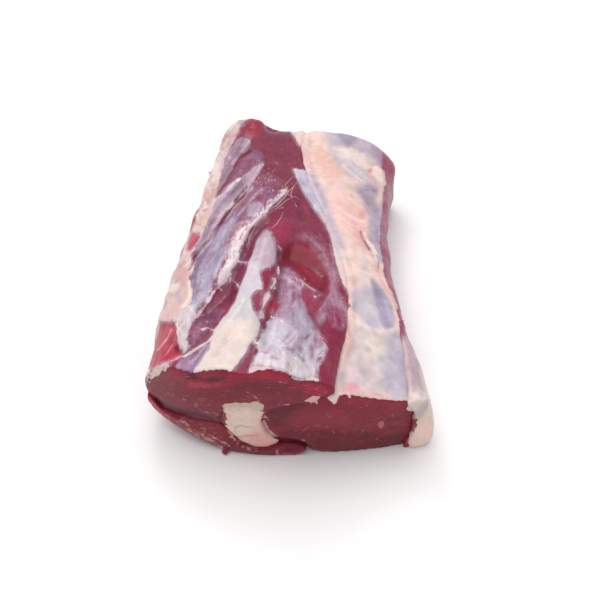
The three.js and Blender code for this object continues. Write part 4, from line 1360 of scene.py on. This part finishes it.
class NodeTree:
    """A material and short ways to add the nodes that the finishes use.

    Attributes:
        material: The material.
        shader: Its surface shader.
    """

    def __init__(self, name: str) -> None:
        """Starts a material with a surface shader and nothing else.

        Args:
            name: The material's name.
        """
        self.material = bpy.data.materials.new(name)
        self.material.use_nodes = True
        self.material.node_tree.nodes.clear()
        self.shader = self.add("ShaderNodeBsdfPrincipled", {})
        self.add("ShaderNodeOutputMaterial", {"Surface": self.shader.outputs["BSDF"]})

    def add(self, kind: str, inputs: dict[str | int, object], **settings: str) -> bpy.types.Node:
        """Adds a node.

        Args:
            kind: The node's type.
            inputs: What goes into each input, a socket or a plain value.
            **settings: The node's properties.

        Returns:
            The node.
        """
        node = self.material.node_tree.nodes.new(kind)
        for key, value in settings.items():
            setattr(node, key, value)
        for key, value in inputs.items():
            self.feed(value, node.inputs[key])
        return node

    def feed(self, value: object, target: Socket) -> None:
        """Links a socket to a target, or sets a plain value on it.

        Args:
            value: A socket or a plain value.
            target: The input that takes it.
        """
        if isinstance(value, Socket):
            self.material.node_tree.links.new(value, target)
        else:
            target.default_value = value

    def finish(self, **looks: object) -> None:
        """Feeds the shader's inputs, each named with its spaces as underscores."""
        for name, value in looks.items():
            self.feed(value, self.shader.inputs[name.replace("_", " ")])

    def place(self) -> Socket:
        """Object coordinates, in metres."""
        return self.add("ShaderNodeTexCoord", {}).outputs["Object"]

    def painted(self, name: str, output: str = "Color") -> Socket:
        """What is stored on the vertices under a name, a Color, a Vector or a Fac."""
        return self.add("ShaderNodeAttribute", {}, attribute_name=name).outputs[output]

    def channels(self, name: str) -> bpy.types.NodeOutputs:
        """The three channels of a painted attribute."""
        return self.add("ShaderNodeSeparateColor", {"Color": self.painted(name)}).outputs

    def constant(self, code: str) -> Socket:
        """One colour.

        Args:
            code: Its hex code.

        Returns:
            The colour.
        """
        colour = self.add("ShaderNodeRGB", {}).outputs[0]
        colour.default_value = (*linear(code), 1.0)
        return colour

    def noise(self, place: Socket, pattern: Pattern) -> Socket:
        """A noise value between 0 and 1.

        Args:
            place: The coordinates that it lies in.
            pattern: Its sizes.

        Returns:
            The value.
        """
        feeds = {
            "Vector": self.stretched(place, pattern.along),
            "Scale": pattern.scale,
            "Detail": pattern.detail,
            "Roughness": NOISE_ROUGHNESS,
        }
        return self.add("ShaderNodeTexNoise", feeds).outputs["Fac"]

    def stretched(self, place: Socket, along: float) -> Socket:
        """Coordinates with those along the fibres scaled by a factor.

        Args:
            place: The coordinates.
            along: The factor.

        Returns:
            The new coordinates.
        """
        if along == 1.0:
            return place
        feeds = {"Vector": place, "Scale": (1.0, along, 1.0)}
        return self.add("ShaderNodeMapping", feeds).outputs["Vector"]

    def warped(self, run: Socket, place: Socket, scale: float, amount: float) -> Socket:
        """Coordinates pushed about by a noise, so that no line drawn in them is straight.

        Args:
            run: The coordinates.
            place: The coordinates that the noise lies in.
            scale: The noise's scale.
            amount: How far it pushes, in metres.

        Returns:
            The new coordinates.
        """
        noise = self.add("ShaderNodeTexNoise", {"Vector": place, "Scale": scale})
        feeds = {0: noise.outputs["Color"], 1: (amount, amount, amount), 2: run}
        return self.add("ShaderNodeVectorMath", feeds, operation="MULTIPLY_ADD").outputs[0]

    def cells(self, run: Socket) -> Socket:
        """Bundles of fibres with dark gaps between them.

        Args:
            run: The coordinates, with the fibres along the second one.

        Returns:
            Low values in the gaps and high ones on the bundles.
        """
        feeds = {"Vector": self.stretched(run, BUNDLE_LENGTH), "Scale": BUNDLE_SCALE}
        node = self.add("ShaderNodeTexVoronoi", feeds, feature="DISTANCE_TO_EDGE")
        return self.spread(node.outputs["Distance"], *GAP_SHADE)

    def math(self, operation: str, first: object, second: object) -> Socket:
        """The result of a math node on two values."""
        return self.add("ShaderNodeMath", {0: first, 1: second}, operation=operation).outputs[0]

    def times(self, first: object, second: object) -> Socket:
        """Two values multiplied."""
        return self.math("MULTIPLY", first, second)

    def plus(self, first: object, second: object) -> Socket:
        """Two values added up."""
        return self.math("ADD", first, second)

    def centred(self, noise: Socket, amount: float) -> Socket:
        """A noise from 0 to 1 moved to lie about zero, times an amount."""
        return self.times(self.math("SUBTRACT", noise, 0.5), amount)

    def spread(
        self, value: Socket, low: float, high: float, to_low: float = 0.0, to_high: float = 1.0
    ) -> Socket:
        """A value mapped softly from one range to another.

        Args:
            value: The value.
            low: Where it begins to change.
            high: Where it stops changing.
            to_low: What it is up to low.
            to_high: What it is from high on.

        Returns:
            The mapped value.
        """
        feeds = {"Value": value, "From Min": low, "From Max": high, "To Min": to_low}
        feeds["To Max"] = to_high
        node = self.add("ShaderNodeMapRange", feeds, interpolation_type="SMOOTHSTEP")
        return node.outputs["Result"]

    def varied(self, colour: Socket, noise: Socket, amount: float) -> Socket:
        """A colour made darker and lighter by a noise.

        Args:
            colour: The colour.
            noise: The noise, from 0 to 1.
            amount: How much darker and lighter it gets.

        Returns:
            The new colour.
        """
        factor = self.spread(noise, *NOISE_BAND, 1.0 - amount, 1.0 + amount)
        feeds = {0: colour, "Scale": factor}
        return self.add("ShaderNodeVectorMath", feeds, operation="SCALE").outputs[0]

    def torn(self, amount: Socket, run: Socket) -> Socket:
        """Broken shreds, the more of them the higher an amount is."""
        high = self.plus(self.noise(run, TORN_BITS), self.times(amount, TORN_GAIN))
        return self.times(self.spread(high, *TORN_BAND), self.spread(amount, *TORN_COVER))

    def hairlines(self, noise: Socket, width: float) -> Socket:
        """Thin lines where a noise crosses its middle."""
        off = self.math("ABSOLUTE", self.math("SUBTRACT", noise, 0.5), 0.0)
        return self.spread(off, 0.0, width, 1.0, 0.0)

    def broken_step(
        self, value: Socket, noise: Socket, ragged: float, low: float, high: float
    ) -> Socket:
        """A painted mask, broken up by a noise where it is neither full nor empty.

        Args:
            value: The mask.
            noise: The noise, from 0 to 1.
            ragged: How far it breaks the mask up.
            low: The mask's value that ends as empty.
            high: The mask's value that ends as full.

        Returns:
            The broken mask.
        """
        band = self.times(value, self.math("SUBTRACT", 1.0, value))
        moved = self.times(self.centred(noise, ragged), self.times(band, MIDDLE_GAIN))
        return self.spread(self.plus(value, moved), low, high)

    def mix(self, factor: Socket, first: object, second: object, kind: str = "RGBA") -> Socket:
        """Two colours mixed by a factor, or two numbers when the kind is VALUE.

        Args:
            factor: How far the second one shows.
            first: A colour or a number.
            second: Another one.
            kind: RGBA or VALUE, the type of the sockets.

        Returns:
            The mix.
        """
        data_type = "FLOAT" if kind == "VALUE" else kind
        node = self.add("ShaderNodeMix", {0: factor}, data_type=data_type)
        ends = [socket for socket in node.inputs if socket.type == kind][-2:]
        self.feed(first, ends[0])
        self.feed(second, ends[1])
        return next(socket for socket in node.outputs if socket.type == kind)

    def bump(self, height: Socket, strength: float, distance: float) -> Socket:
        """A normal roughened by a height."""
        feeds = {"Strength": strength, "Distance": distance, "Height": height}
        return self.add("ShaderNodeBump", feeds).outputs["Normal"]


@dataclass(frozen=True)
class WetMeat:
    """The finish of lean, film and fat on one piece.

    Attributes:
        name: The material's name.
        coat: Strength of the wet coat.
        coat_roughness: Roughness of the wet coat.
        specular: Strength of the gleam under the coat.
        ior: Index of refraction of the meat.
        lean_roughness: Roughness of bare lean.
        film_roughness: Roughness of silverskin.
        fat_roughness: Roughness of fat.
        uneven: How much the roughness varies.
        mottling: How much the lean's colour varies from place to place.
        streaks: How much it varies in streaks along the fibres.
        bundles: How dark the gaps between its bundles are.
        fat_mottling: How much the fat's colour varies from place to place.
        fat_specks: How much it varies in specks.
        film_streaks: How much the film's colour varies in streaks.
        film_bands: How much it varies in broad bands.
        shred_specks: How much the colour of shreds varies.
        threads: How white the hair-thin threads in the film are.
        marbling: How pale the hair-thin lines in the lean are.
        ragged_fat: How ragged the edges of fat are.
        ragged_film: How ragged the edges of film are.
        bump: Strength of the fine relief.
        bump_height: Height of the fine relief in metres.
    """

    name: str
    coat: float = 0.2
    coat_roughness: float = 0.13
    specular: float = 0.2
    ior: float = 1.4
    lean_roughness: float = 0.44
    film_roughness: float = 0.34
    fat_roughness: float = 0.48
    uneven: float = 0.2
    mottling: float = 0.1
    streaks: float = 0.08
    bundles: float = 0.04
    fat_mottling: float = 0.05
    fat_specks: float = 0.03
    film_streaks: float = 0.08
    film_bands: float = 0.10
    shred_specks: float = 0.06
    threads: float = 0.5
    marbling: float = 0.35
    ragged_fat: float = 1.5
    ragged_film: float = 1.0
    bump: float = 0.6
    bump_height: float = 0.00035

    def build(self) -> bpy.types.Material:
        """Makes the material.

        Returns:
            A material that reads the painted attributes.
        """
        tree = NodeTree(self.name)
        place = tree.place()
        run = tree.warped(tree.painted("fibre_run", "Vector"), place, WARP_SCALE, WARP_REACH)
        fat_cover, film_cover, on_cut = tree.channels("cover")
        coarse, fine = tree.noise(place, COARSE), tree.noise(place, FINE)
        streak, bundles = tree.noise(run, STREAK), tree.cells(run)
        sparse = tree.spread(tree.noise(place, SPARSE), *SPARSE_BAND)
        hair = tree.hairlines(tree.noise(run, HAIRS), HAIR_WIDTH)
        web = tree.hairlines(tree.noise(place, WEB), WEB_WIDTH)
        threads = tree.times(tree.math("MAXIMUM", hair, web), sparse)
        pale = tree.painted("shreds_tint")

        lean = tree.varied(tree.painted("lean_tint"), coarse, self.mottling)
        lean = tree.varied(lean, streak, self.streaks)
        lean = tree.varied(lean, bundles, self.bundles)
        marbling = tree.times(tree.times(web, sparse), self.marbling)
        lean = tree.mix(marbling, lean, tree.painted("marbling_tint"))
        fat = tree.varied(tree.painted("fat_tint"), coarse, self.fat_mottling)
        fat = tree.varied(fat, fine, self.fat_specks)
        film = tree.varied(tree.painted("film_tint"), streak, self.film_streaks)
        film = tree.varied(film, tree.noise(run, BROAD), self.film_bands)
        film = tree.mix(tree.times(threads, self.threads), film, pale)

        ragged = tree.plus(tree.times(streak, 0.5), tree.times(fine, 0.5))
        edge = tree.broken_step(fat_cover, ragged, self.ragged_fat, *FAT_EDGE)
        ragged = tree.math("MAXIMUM", streak, coarse)
        veil = tree.broken_step(film_cover, ragged, self.ragged_film, *FILM_EDGE)
        torn = tree.torn(tree.painted("shreds", "Fac"), run)
        colour = tree.mix(veil, tree.mix(edge, lean, fat), film)
        colour = tree.mix(torn, colour, tree.varied(pale, fine, self.shred_specks))

        rough = tree.mix(edge, self.lean_roughness, self.fat_roughness, "VALUE")
        rough = tree.mix(veil, rough, self.film_roughness, "VALUE")
        height = tree.mix(on_cut, streak, bundles, "VALUE")
        height = tree.mix(edge, height, tree.noise(place, LUMPY), "VALUE")
        height = tree.plus(height, tree.times(torn, TORN_HEIGHT))
        height = tree.plus(height, tree.times(threads, tree.times(veil, THREAD_HEIGHT)))
        tree.finish(
            Base_Color=colour,
            Roughness=tree.plus(rough, tree.centred(coarse, self.uneven)),
            Normal=tree.bump(height, self.bump, self.bump_height),
            Coat_Weight=self.coat,
            Coat_Roughness=self.coat_roughness,
            Specular_IOR_Level=self.specular,
            IOR=self.ior,
        )
        return tree.material


@dataclass
class MeatPiece:
    """One muscle or layer of fat, meshed finely from its solid and painted.

    Attributes:
        node: The solid that it stands for.
        slot: The record's material slot; not used.
        finish: Its material.
        voxel: Size of its mesh in metres.
        seed: Picks its noises.
        outside: Marks on its outer faces.
        cut: Marks on its cut face.
        swell: How far it grows to close the gap to its neighbours, in millimetres.
        cut_tilt: Rise of the lines on its cut to the right, in degrees.
        roughness: How lumpy its surface is, as a multiple of the usual.
        rounding: How many times its edges are smoothed.
        rim_hold: How firmly the rims of the cut are kept through that.
    """

    node: str
    slot: str
    finish: WetMeat
    voxel: float
    seed: int
    outside: tuple[Mark, ...] = ()
    cut: tuple[Mark, ...] = ()
    swell: float = 0.4
    cut_tilt: float = 12.0
    roughness: float = 1.0
    rounding: int = 30
    rim_hold: float = 0.95

    def build(self, source: bpy.types.Object, camera: PhotoCamera) -> bpy.types.Object:
        """Makes, paints and dresses the piece.

        Args:
            source: The solid's object.
            camera: The camera whose pixels the marks are read in.

        Returns:
            The finished object.
        """
        mesh = self.fine_mesh(source)
        skin = Skin(mesh)
        self.round_off(skin)
        painter = MarkPainter(skin, camera)
        self.ground(painter)
        for face, marks in ((Face.OUTSIDE, self.outside), (Face.CUT, self.cut)):
            for number, mark in enumerate(marks):
                painter.lay(mark, face, self.seed + number)
        self.edge_films(painter)
        self.vary(painter)
        self.raise_relief(painter)
        self.shade_hollows(painter)
        self.store(painter)
        piece = placed(self.node + "_flesh", mesh)
        mesh.materials.append(self.finish.build())
        mesh.shade_smooth()
        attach(piece, BODY)
        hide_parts(self.node)
        LOG.info("%s: %d faces", piece.name, len(mesh.polygons))
        return piece

    def fine_mesh(self, source: bpy.types.Object) -> bpy.types.Mesh:
        """A finely meshed copy of the solid.

        Args:
            source: The solid's object.

        Returns:
            A new mesh of even small faces.
        """
        merged = bmesh.new()
        merged.from_mesh(source.data)
        bmesh.ops.remove_doubles(merged, verts=merged.verts, dist=MERGE_DISTANCE)
        coarse = bpy.data.meshes.new(self.node + "_merged")
        merged.to_mesh(coarse)
        merged.free()
        helper = placed(self.node + "_helper", coarse)
        remesh = helper.modifiers.new("even", "REMESH")
        remesh.mode = "VOXEL"
        remesh.voxel_size = self.voxel
        remesh.adaptivity = 0.0
        fine = evaluated(helper)
        bpy.data.meshes.remove(coarse)
        fine.name = self.node + "_flesh"
        return fine

    def round_off(self, skin: Skin) -> None:
        """Smooths the facets away and keeps the rims of the cut sharp.

        Args:
            skin: The piece's vertices.
        """
        facing = skin.around(smoothstep(np.abs(skin.write()[:, 1]), *RIM_TURN), RIM_SPREAD)
        rim = np.clip(RIM_GAIN * facing * (1.0 - facing), 0.0, 1.0)
        skin.settle(self.rounding, 1.0 - self.rim_hold * rim)
        off = skin.place - skin.around(skin.place, RIM_BLUR)
        skin.place += off * (rim * self.rim_hold * RIM_SHARPNESS)[:, None]

    def ground(self, painter: MarkPainter) -> None:
        """Lays the tissue that shows where no mark is.

        Args:
            painter: The piece's painter.
        """
        painter.base(LEAN, "#7f3a4a")
        painter.base(FAT, "#e6cfc7")
        painter.base(FILM, "#b49cad")
        painter.base(SHREDS, "#e6d8dd")

    def fibres(self, painter: MarkPainter) -> np.ndarray:
        """Metres across the fibres, along them and up for each vertex; they run along the meat."""
        return painter.place

    def cut_lines(self, painter: MarkPainter) -> np.ndarray:
        """The run of the lines on the cut.

        Args:
            painter: The piece's painter.

        Returns:
            Metres across the lines, along them and into the meat for each vertex.
        """
        turn, (side, depth, height) = math.radians(self.cut_tilt), painter.place.T
        along = side * math.cos(turn) + height * math.sin(turn)
        across = height * math.cos(turn) - side * math.sin(turn)
        return np.stack([across, along, depth], 1)

    def edge_films(self, painter: MarkPainter) -> None:
        """Lays a thin film round every patch of fat.

        Args:
            painter: The piece's painter.
        """
        spread = painter.skin.around(painter.fat, EDGE_FILM_REACH)
        band = np.clip(spread * (1.0 - painter.fat) * EDGE_FILM_GAIN, 0.0, 1.0) * painter.outer
        painter.film = np.maximum(painter.film, EDGE_FILM * band)

    def vary(self, painter: MarkPainter) -> None:
        """Makes every tissue uneven in colour and cover.

        Args:
            painter: The piece's painter.
        """
        place, fibres = painter.place, self.fibres(painter)
        outer, beside_fat = painter.outer, painter.outer * (1.0 - painter.fat)
        veil = VEIL.at(fibres, self.seed) + VEIL_CLOUD.at(place, self.seed)
        PALE_VEIL.lay(painter, veil)
        DARK_VEIL.lay(painter, -veil)
        thin = THIN.at(fibres, self.seed) + THIN_CLOUD.at(place, self.seed)
        painter.film *= 1.0 - THINNING * beside_fat * smoothstep(thin, *THIN_BAND)
        blots = BLOTS.at(place, self.seed)
        PINK_BLOTS.lay(painter, blots, outer)
        GREY_BLOTS.lay(painter, -blots, outer)
        specks = SPECKS.at(place, self.seed)
        WHITE_SPECKS.lay(painter, specks)
        depth = DEPTH.at(place, self.seed) + SPECKS_IN_DEPTH * specks
        DARK_LEAN.lay(painter, -depth)
        LIGHT_LEAN.lay(painter, depth, outer)
        WISPS.lay(painter, specks + veil, beside_fat)

    def raise_relief(self, painter: MarkPainter) -> None:
        """Raises and sinks the surface as its tissues do.

        Args:
            painter: The piece's painter.
        """
        skin, place, cut = painter.skin, painter.place, painter.cut
        fat, film = painter.fat, painter.film * (1.0 - painter.fat)
        bare = (1.0 - fat) * (1.0 - film * FILM_CALM)
        height = self.roughness * (1.0 - CUT_CALM * cut) * LUMPS.at(place, self.seed)
        height += fat * (1.0 - FAT_CUT_CALM * cut) * FAT_LUMPS.at(place, self.seed)
        bent = self.fibres(painter) + BEND.at(place, self.seed)[:, None]
        ribs = bare * painter.outer * BUNDLE_HEIGHT + film * FILM_BUNDLE_HEIGHT
        height += ribs * BUNDLES.at(bent, self.seed)
        height += bare * FINE_LUMPS.at(place, self.seed)
        normal = skin.around(painter.normal, RELIEF_BLUR)
        normal /= np.linalg.norm(normal, axis=1)[:, None]
        skin.place += normal * ((painter.lift + self.swell + height) * MM)[:, None]
        skin.settle(1, np.full(len(height), RELIEF_SETTLING))
        skin.place[:, 2] = np.maximum(skin.place[:, 2], 0.0)

    def shade_hollows(self, painter: MarkPainter) -> None:
        """Darkens the hollows and lightens the ridges a little.

        Args:
            painter: The piece's painter.
        """
        skin = painter.skin
        normal = skin.write()
        near = skin.around(skin.place, HOLLOW_NEAR)
        far = skin.around(near, HOLLOW_FAR)
        bend = np.einsum("ij,ij->i", far - near, normal) / MM
        shade = np.clip(bend * HOLLOW_SHADE, *HOLLOW_RANGE) * (1.0 - CUT_CALM * painter.cut)
        for tint in painter.tints.values():
            tint *= (1.0 - shade)[:, None]

    def store(self, painter: MarkPainter) -> None:
        """Writes the painting into the mesh's attributes.

        Args:
            painter: The piece's painter.
        """
        attributes, count = painter.skin.mesh.attributes, len(painter.film)
        layers = {tissue.value + "_tint": tint for tissue, tint in painter.tints.items()}
        layers["marbling_tint"] = np.tile(linear(MARBLING), (count, 1))
        layers["cover"] = np.stack([painter.fat, painter.film, painter.cut], 1)
        for name, values in layers.items():
            rows = np.hstack([np.clip(values, 0, 1), np.ones((count, 1))])
            attributes.new(name, "FLOAT_COLOR", "POINT").data.foreach_set("color", rows.ravel())
        shreds = attributes.new("shreds", "FLOAT", "POINT")
        shreds.data.foreach_set("value", painter.shreds)
        outer, cut = self.fibres(painter), self.cut_lines(painter)
        run = attributes.new("fibre_run", "FLOAT_VECTOR", "POINT")
        run.data.foreach_set("vector", (outer + (cut - outer) * painter.cut[:, None]).ravel())


class CapPiece(MeatPiece):
    """The cap muscle, with its films, its rim of fat and its cut."""

    def fibres(self, painter: MarkPainter) -> np.ndarray:
        """Metres across, along and up, for fibres that fan out from beyond the far end."""
        off = painter.place[:, 0] - FAN_APEX[0], FAN_APEX[1] - painter.place[:, 1]
        return np.stack([np.arctan2(*off) * FAN_REACH, np.hypot(*off), painter.place[:, 2]], 1)

    def ground(self, painter: MarkPainter) -> None:
        """Lean above, fat and raw lean down the left flank.

        Args:
            painter: The piece's painter.
        """
        super().ground(painter)
        painter.base(LEAN, "#84334b")
        painter.blend(LEAN, "#85253a", painter.cut)
        left = smoothstep(-painter.normal[:, 0], *LEFT_TURN) * painter.outer
        patches = BROAD_PATCHES.at(painter.place, self.seed)
        back = smoothstep(painter.place[:, 1] + RAW_END_WANDER * patches, *RAW_END)
        painter.cover(FAT, left * back)
        FLANK_PINK.lay(painter, patches, left)
        painter.blend(LEAN, "#a54355", left * (1.0 - back))
        FLANK_PATCHES.lay(painter, patches, left * (1.0 - back))


class EyePiece(MeatPiece):
    """The eye of the cut, under its slab of fat."""

    def ground(self, painter: MarkPainter) -> None:
        """Mauve lean under film down the flank, patches of fat below.

        Args:
            painter: The piece's painter.
        """
        super().ground(painter)
        painter.base(LEAN, MAUVE_LEAN)
        painter.blend(LEAN, "#861f31", painter.cut)
        painter.base(FILM, "#ab8a9f")
        bent = painter.place + EYE_BEND.at(painter.place, self.seed)[:, None]
        streaks = EYE_STREAKS.at(bent, self.seed) + EYE_PATCHES.at(painter.place, self.seed)
        EYE_FILM.lay(painter, streaks, painter.outer)
        under = smoothstep(-painter.normal[:, 2], *UNDER_TURN) * painter.outer
        EYE_FAT.lay(painter, streaks, under)


class FlapPiece(MeatPiece):
    """The thin flap under the cap."""

    def ground(self, painter: MarkPainter) -> None:
        """Dark lean mottled with fat.

        Args:
            painter: The piece's painter.
        """
        super().ground(painter)
        painter.base(LEAN, "#862536")
        painter.base(FAT, "#cfa39c")
        place = painter.place
        patches = FLAP_PATCHES.at(place, self.seed) + FLAP_GRAINS.at(place, self.seed)
        under = smoothstep(FLAP_TURN_WANDER * patches - painter.normal[:, 2], *FLAP_TURN)
        FLAP_FAT.lay(painter, patches, painter.outer * under)
        FLAP_CUT_FAT.lay(painter, FLAP_SPECKS.at(place, self.seed), painter.cut)


class FatPiece(MeatPiece):
    """A layer of fat."""

    def ground(self, painter: MarkPainter) -> None:
        """Fat near the cut, lean and film behind it.

        Args:
            painter: The piece's painter.
        """
        super().ground(painter)
        place, streaks = painter.place, FAT_STREAKS.at(painter.place, self.seed)
        painter.base(FAT, "#dccac3")
        LAYER_PINK.lay(painter, BROAD_PATCHES.at(place, self.seed))
        LAYER_GREY.lay(painter, GREY_PATCHES.at(place, self.seed))
        painter.blend(FAT, "#e6cbbd", painter.cut)
        painter.cover(FAT, np.ones(len(place)))
        painter.base(FILM, "#ab8f9f")
        if self.outside:
            LAYER_FILM.lay(painter, streaks, painter.outer)
        painter.base(LEAN, MAUVE_LEAN)
        behind = smoothstep(place[:, 1] + FAT_END_WANDER * streaks, *FAT_END)
        painter.cover(LEAN, painter.outer * behind, FAT_END_COVER)


@dataclass(frozen=True)
class Threads:
    """Thin strands of torn tissue, laid on the dressed muscles.

    Attributes:
        name: The piece's name.
        paths: The way of each strand, in pixels of the picture.
        radius: Radius of a strand in millimetres.
        tip: Its radius at its ends, as a share of that.
        stand: How far it stands off the meat in the middle, in millimetres.
        colour: Its colour.
        pink: The colour that it turns to in places.
        step: Distance between the points of a strand, in pixels.
        fewest: The fewest points that a strand has.
        wander: How far a strand wanders, in pixels.
        bends: How many times it does so along a pixel.
        roughness: Its roughness.
        specular: Strength of its gleam.
        seed: Picks how it wanders.
    """

    name: str
    paths: tuple[str, ...]
    radius: float = 0.2
    tip: float = 0.35
    stand: float = 0.02
    colour: str = "#e6d3d9"
    pink: str = "#cf9fa9"
    step: float = 1.2
    fewest: int = 3
    wander: float = 0.5
    bends: float = 0.31
    roughness: float = 0.35
    specular: float = 0.3
    seed: int = 900

    def material(self) -> bpy.types.Material:
        """The pale wet finish of the strands.

        Returns:
            The material.
        """
        tree = NodeTree(self.name)
        share = tree.spread(tree.noise(tree.place(), THREAD_BLOTS), *THREAD_PINK)
        colour = tree.mix(share, tree.constant(self.colour), tree.constant(self.pink))
        tree.finish(Base_Color=colour, Roughness=self.roughness, Specular_IOR_Level=self.specular)
        return tree.material

    def course(self, path: str) -> np.ndarray:
        """The way that a strand takes.

        Args:
            path: Its few points, in pixels of the picture.

        Returns:
            Its points in pixels, close together and wandering a little.
        """
        points = line(SHREDS, self.colour, 1.0, path).points()
        gaps = np.hypot(*np.diff(points, axis=0).T)
        reach = np.concatenate([[0.0], np.cumsum(gaps)])
        stops = np.linspace(0.0, reach[-1], max(int(reach[-1] / self.step), self.fewest))
        course = np.stack([np.interp(stops, reach, points[:, axis]) for axis in (0, 1)], 1)
        start, level = np.full(len(stops), points[0, 0]), np.zeros(len(stops))
        seat = np.stack([stops * self.bends, start, level], 1)
        wander = np.stack([grain(seat, 1.0, self.seed), grain(seat, 1.0, self.seed + 1)], 1)
        return course + self.wander * wander

    def build(self, ground: BVHTree, camera: PhotoCamera) -> bpy.types.Object:
        """Lays every strand on the meat.

        Args:
            ground: The dressed muscles.
            camera: The camera whose pixels the strands are read in.

        Returns:
            One object holding all the strands.
        """
        curve = bpy.data.curves.new(self.name, "CURVE")
        curve.dimensions, curve.bevel_depth, curve.bevel_resolution = "3D", MM, 1
        curve.use_fill_caps = True
        eye = Vector(camera.place)
        for path in self.paths:
            hits = [ground.ray_cast(eye, camera.ray(*pixel)) for pixel in self.course(path)]
            hits = [(place, normal) for place, normal, _, _ in hits if place]
            spline = curve.splines.new("POLY")
            spline.points.add(len(hits) - 1)
            for number, (place, normal) in enumerate(hits):
                arch = math.sin(math.pi * (number / (len(hits) - 1)))
                seat = place + normal * (self.stand * arch * MM)
                spline.points[number].co = (*seat, 1.0)
                spline.points[number].radius = self.radius * (self.tip + (1.0 - self.tip) * arch)
        mesh = evaluated(placed(self.name, curve))
        piece = placed(self.name, mesh)
        mesh.materials.clear()
        mesh.materials.append(self.material())
        mesh.shade_smooth()
        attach(piece, BODY)
        LOG.info("%s: %d faces", piece.name, len(mesh.polygons))
        return piece


@dataclass(frozen=True)
class Studio:
    """The floor, the sky and the lights.

    Attributes:
        floor_side: Side of the floor in metres.
        floor_white: How white the floor is.
        floor_roughness: Roughness of the floor.
        floor_specular: Strength of the floor's gleam.
        sky: Strength of the even light all round.
        key: Strength of the broad soft light from above.
        key_angle: How broad the soft light is, in degrees.
        key_place: Where it shines from, in metres.
        glint: Strength of the small lamp that makes wet glints, in watts.
        glint_side: Side of that lamp in metres.
        glint_place: Where it hangs, in metres.
    """

    floor_side: float = 12.0
    floor_white: float = 0.98
    floor_roughness: float = 0.9
    floor_specular: float = 0.1
    sky: float = 0.5
    key: float = 1.7
    key_angle: float = 55.0
    key_place: tuple[float, float, float] = (-0.2, 0.28, 1.3)
    glint: float = 1.2
    glint_side: float = 0.22
    glint_place: tuple[float, float, float] = (-0.25, 0.55, 0.95)

    def floor(self) -> None:
        """Makes the plain pale floor."""
        shape = bmesh.new()
        bmesh.ops.create_grid(shape, x_segments=1, y_segments=1, size=self.floor_side / 2)
        mesh = bpy.data.meshes.new("floor")
        shape.to_mesh(mesh)
        shape.free()
        floor = placed("floor", mesh)
        tree = NodeTree("pale_floor")
        tree.finish(
            Base_Color=(self.floor_white, self.floor_white, self.floor_white, 1.0),
            Roughness=self.floor_roughness,
            Specular_IOR_Level=self.floor_specular,
        )
        mesh.materials.append(tree.material)

    def lamp(self, data: bpy.types.Light, place: tuple[float, float, float]) -> None:
        """Hangs a light at a place, looking at the meat.

        Args:
            data: The light.
            place: Where it hangs, in metres.
        """
        lamp = placed(data.name, data)
        lamp.location = place
        lamp.rotation_euler = (-Vector(place)).to_track_quat("-Z", "Y").to_euler()

    def build(self) -> None:
        """Makes the floor, the lights and the sky."""
        self.floor()
        key = bpy.data.lights.new("soft_key", "SUN")
        key.energy, key.angle = self.key, math.radians(self.key_angle)
        self.lamp(key, self.key_place)
        glint = bpy.data.lights.new("wet_glint", "AREA")
        glint.energy, glint.size = self.glint, self.glint_side
        self.lamp(glint, self.glint_place)
        world = bpy.data.worlds.new("pale_sky")
        world.use_nodes = True
        sky = world.node_tree.nodes["Background"]
        sky.inputs["Color"].default_value = (1.0, 1.0, 1.0, 1.0)
        sky.inputs["Strength"].default_value = self.sky
        bpy.context.scene.world = world
        bpy.context.scene.view_settings.view_transform = "Standard"


def meat_pieces() -> tuple[MeatPiece, ...]:
    """The muscles and layers of fat, in the order in which they are made.

    Returns:
        The pieces, not built yet.
    """
    lean, dark, soft_fat = WetMeat("wet_lean"), WetMeat("wet_dark_lean"), WetMeat("wet_fat")
    return (
        CapPiece("cap_muscle", "lean", lean, voxel=0.00112, seed=100, outside=CAP_OUTSIDE,
                 cut=CAP_CUT, cut_tilt=-8.0),
        EyePiece("eye_muscle", "lean", lean, voxel=0.00112, seed=400, outside=SLAB,
                 cut=EYE_CUT, cut_tilt=22.0, roughness=0.7),
        FlapPiece("flap_muscle", "dark_lean", dark, voxel=0.00115, seed=600, cut=FLAP_CUT,
                  roughness=2.2),
        FatPiece("fat_seam", "fat", soft_fat, voxel=0.0011, seed=700, cut=WEDGE_CUT, swell=1.2),
        FatPiece("side_fat", "fat", soft_fat, voxel=0.0009, seed=800,
                 outside=SIDE_FAT_OUTSIDE + SIDE_FAT_CUT, cut=SIDE_FAT_CUT, swell=1.2,
                 roughness=2.6, rounding=70, rim_hold=0.6),
    )


def ground_of(pieces: list[bpy.types.Object]) -> BVHTree:
    """The surfaces of several pieces as one tree for rays.

    Args:
        pieces: The pieces.

    Returns:
        The tree.
    """
    joined = bmesh.new()
    for piece in pieces:
        joined.from_mesh(piece.data)
    tree = BVHTree.FromBMesh(joined)
    joined.free()
    return tree


def main() -> None:
    """Builds the camera, the studio and every piece."""
    logging.basicConfig(level=logging.INFO, format="%(message)s")
    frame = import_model()
    camera = PhotoCamera()
    camera.build()
    Studio().build()
    pieces = [piece.build(frame["nodes"][piece.node], camera) for piece in meat_pieces()]
    Threads("torn_threads", THREAD_PATHS).build(ground_of(pieces), camera)


if __name__ == "__main__":
    main()
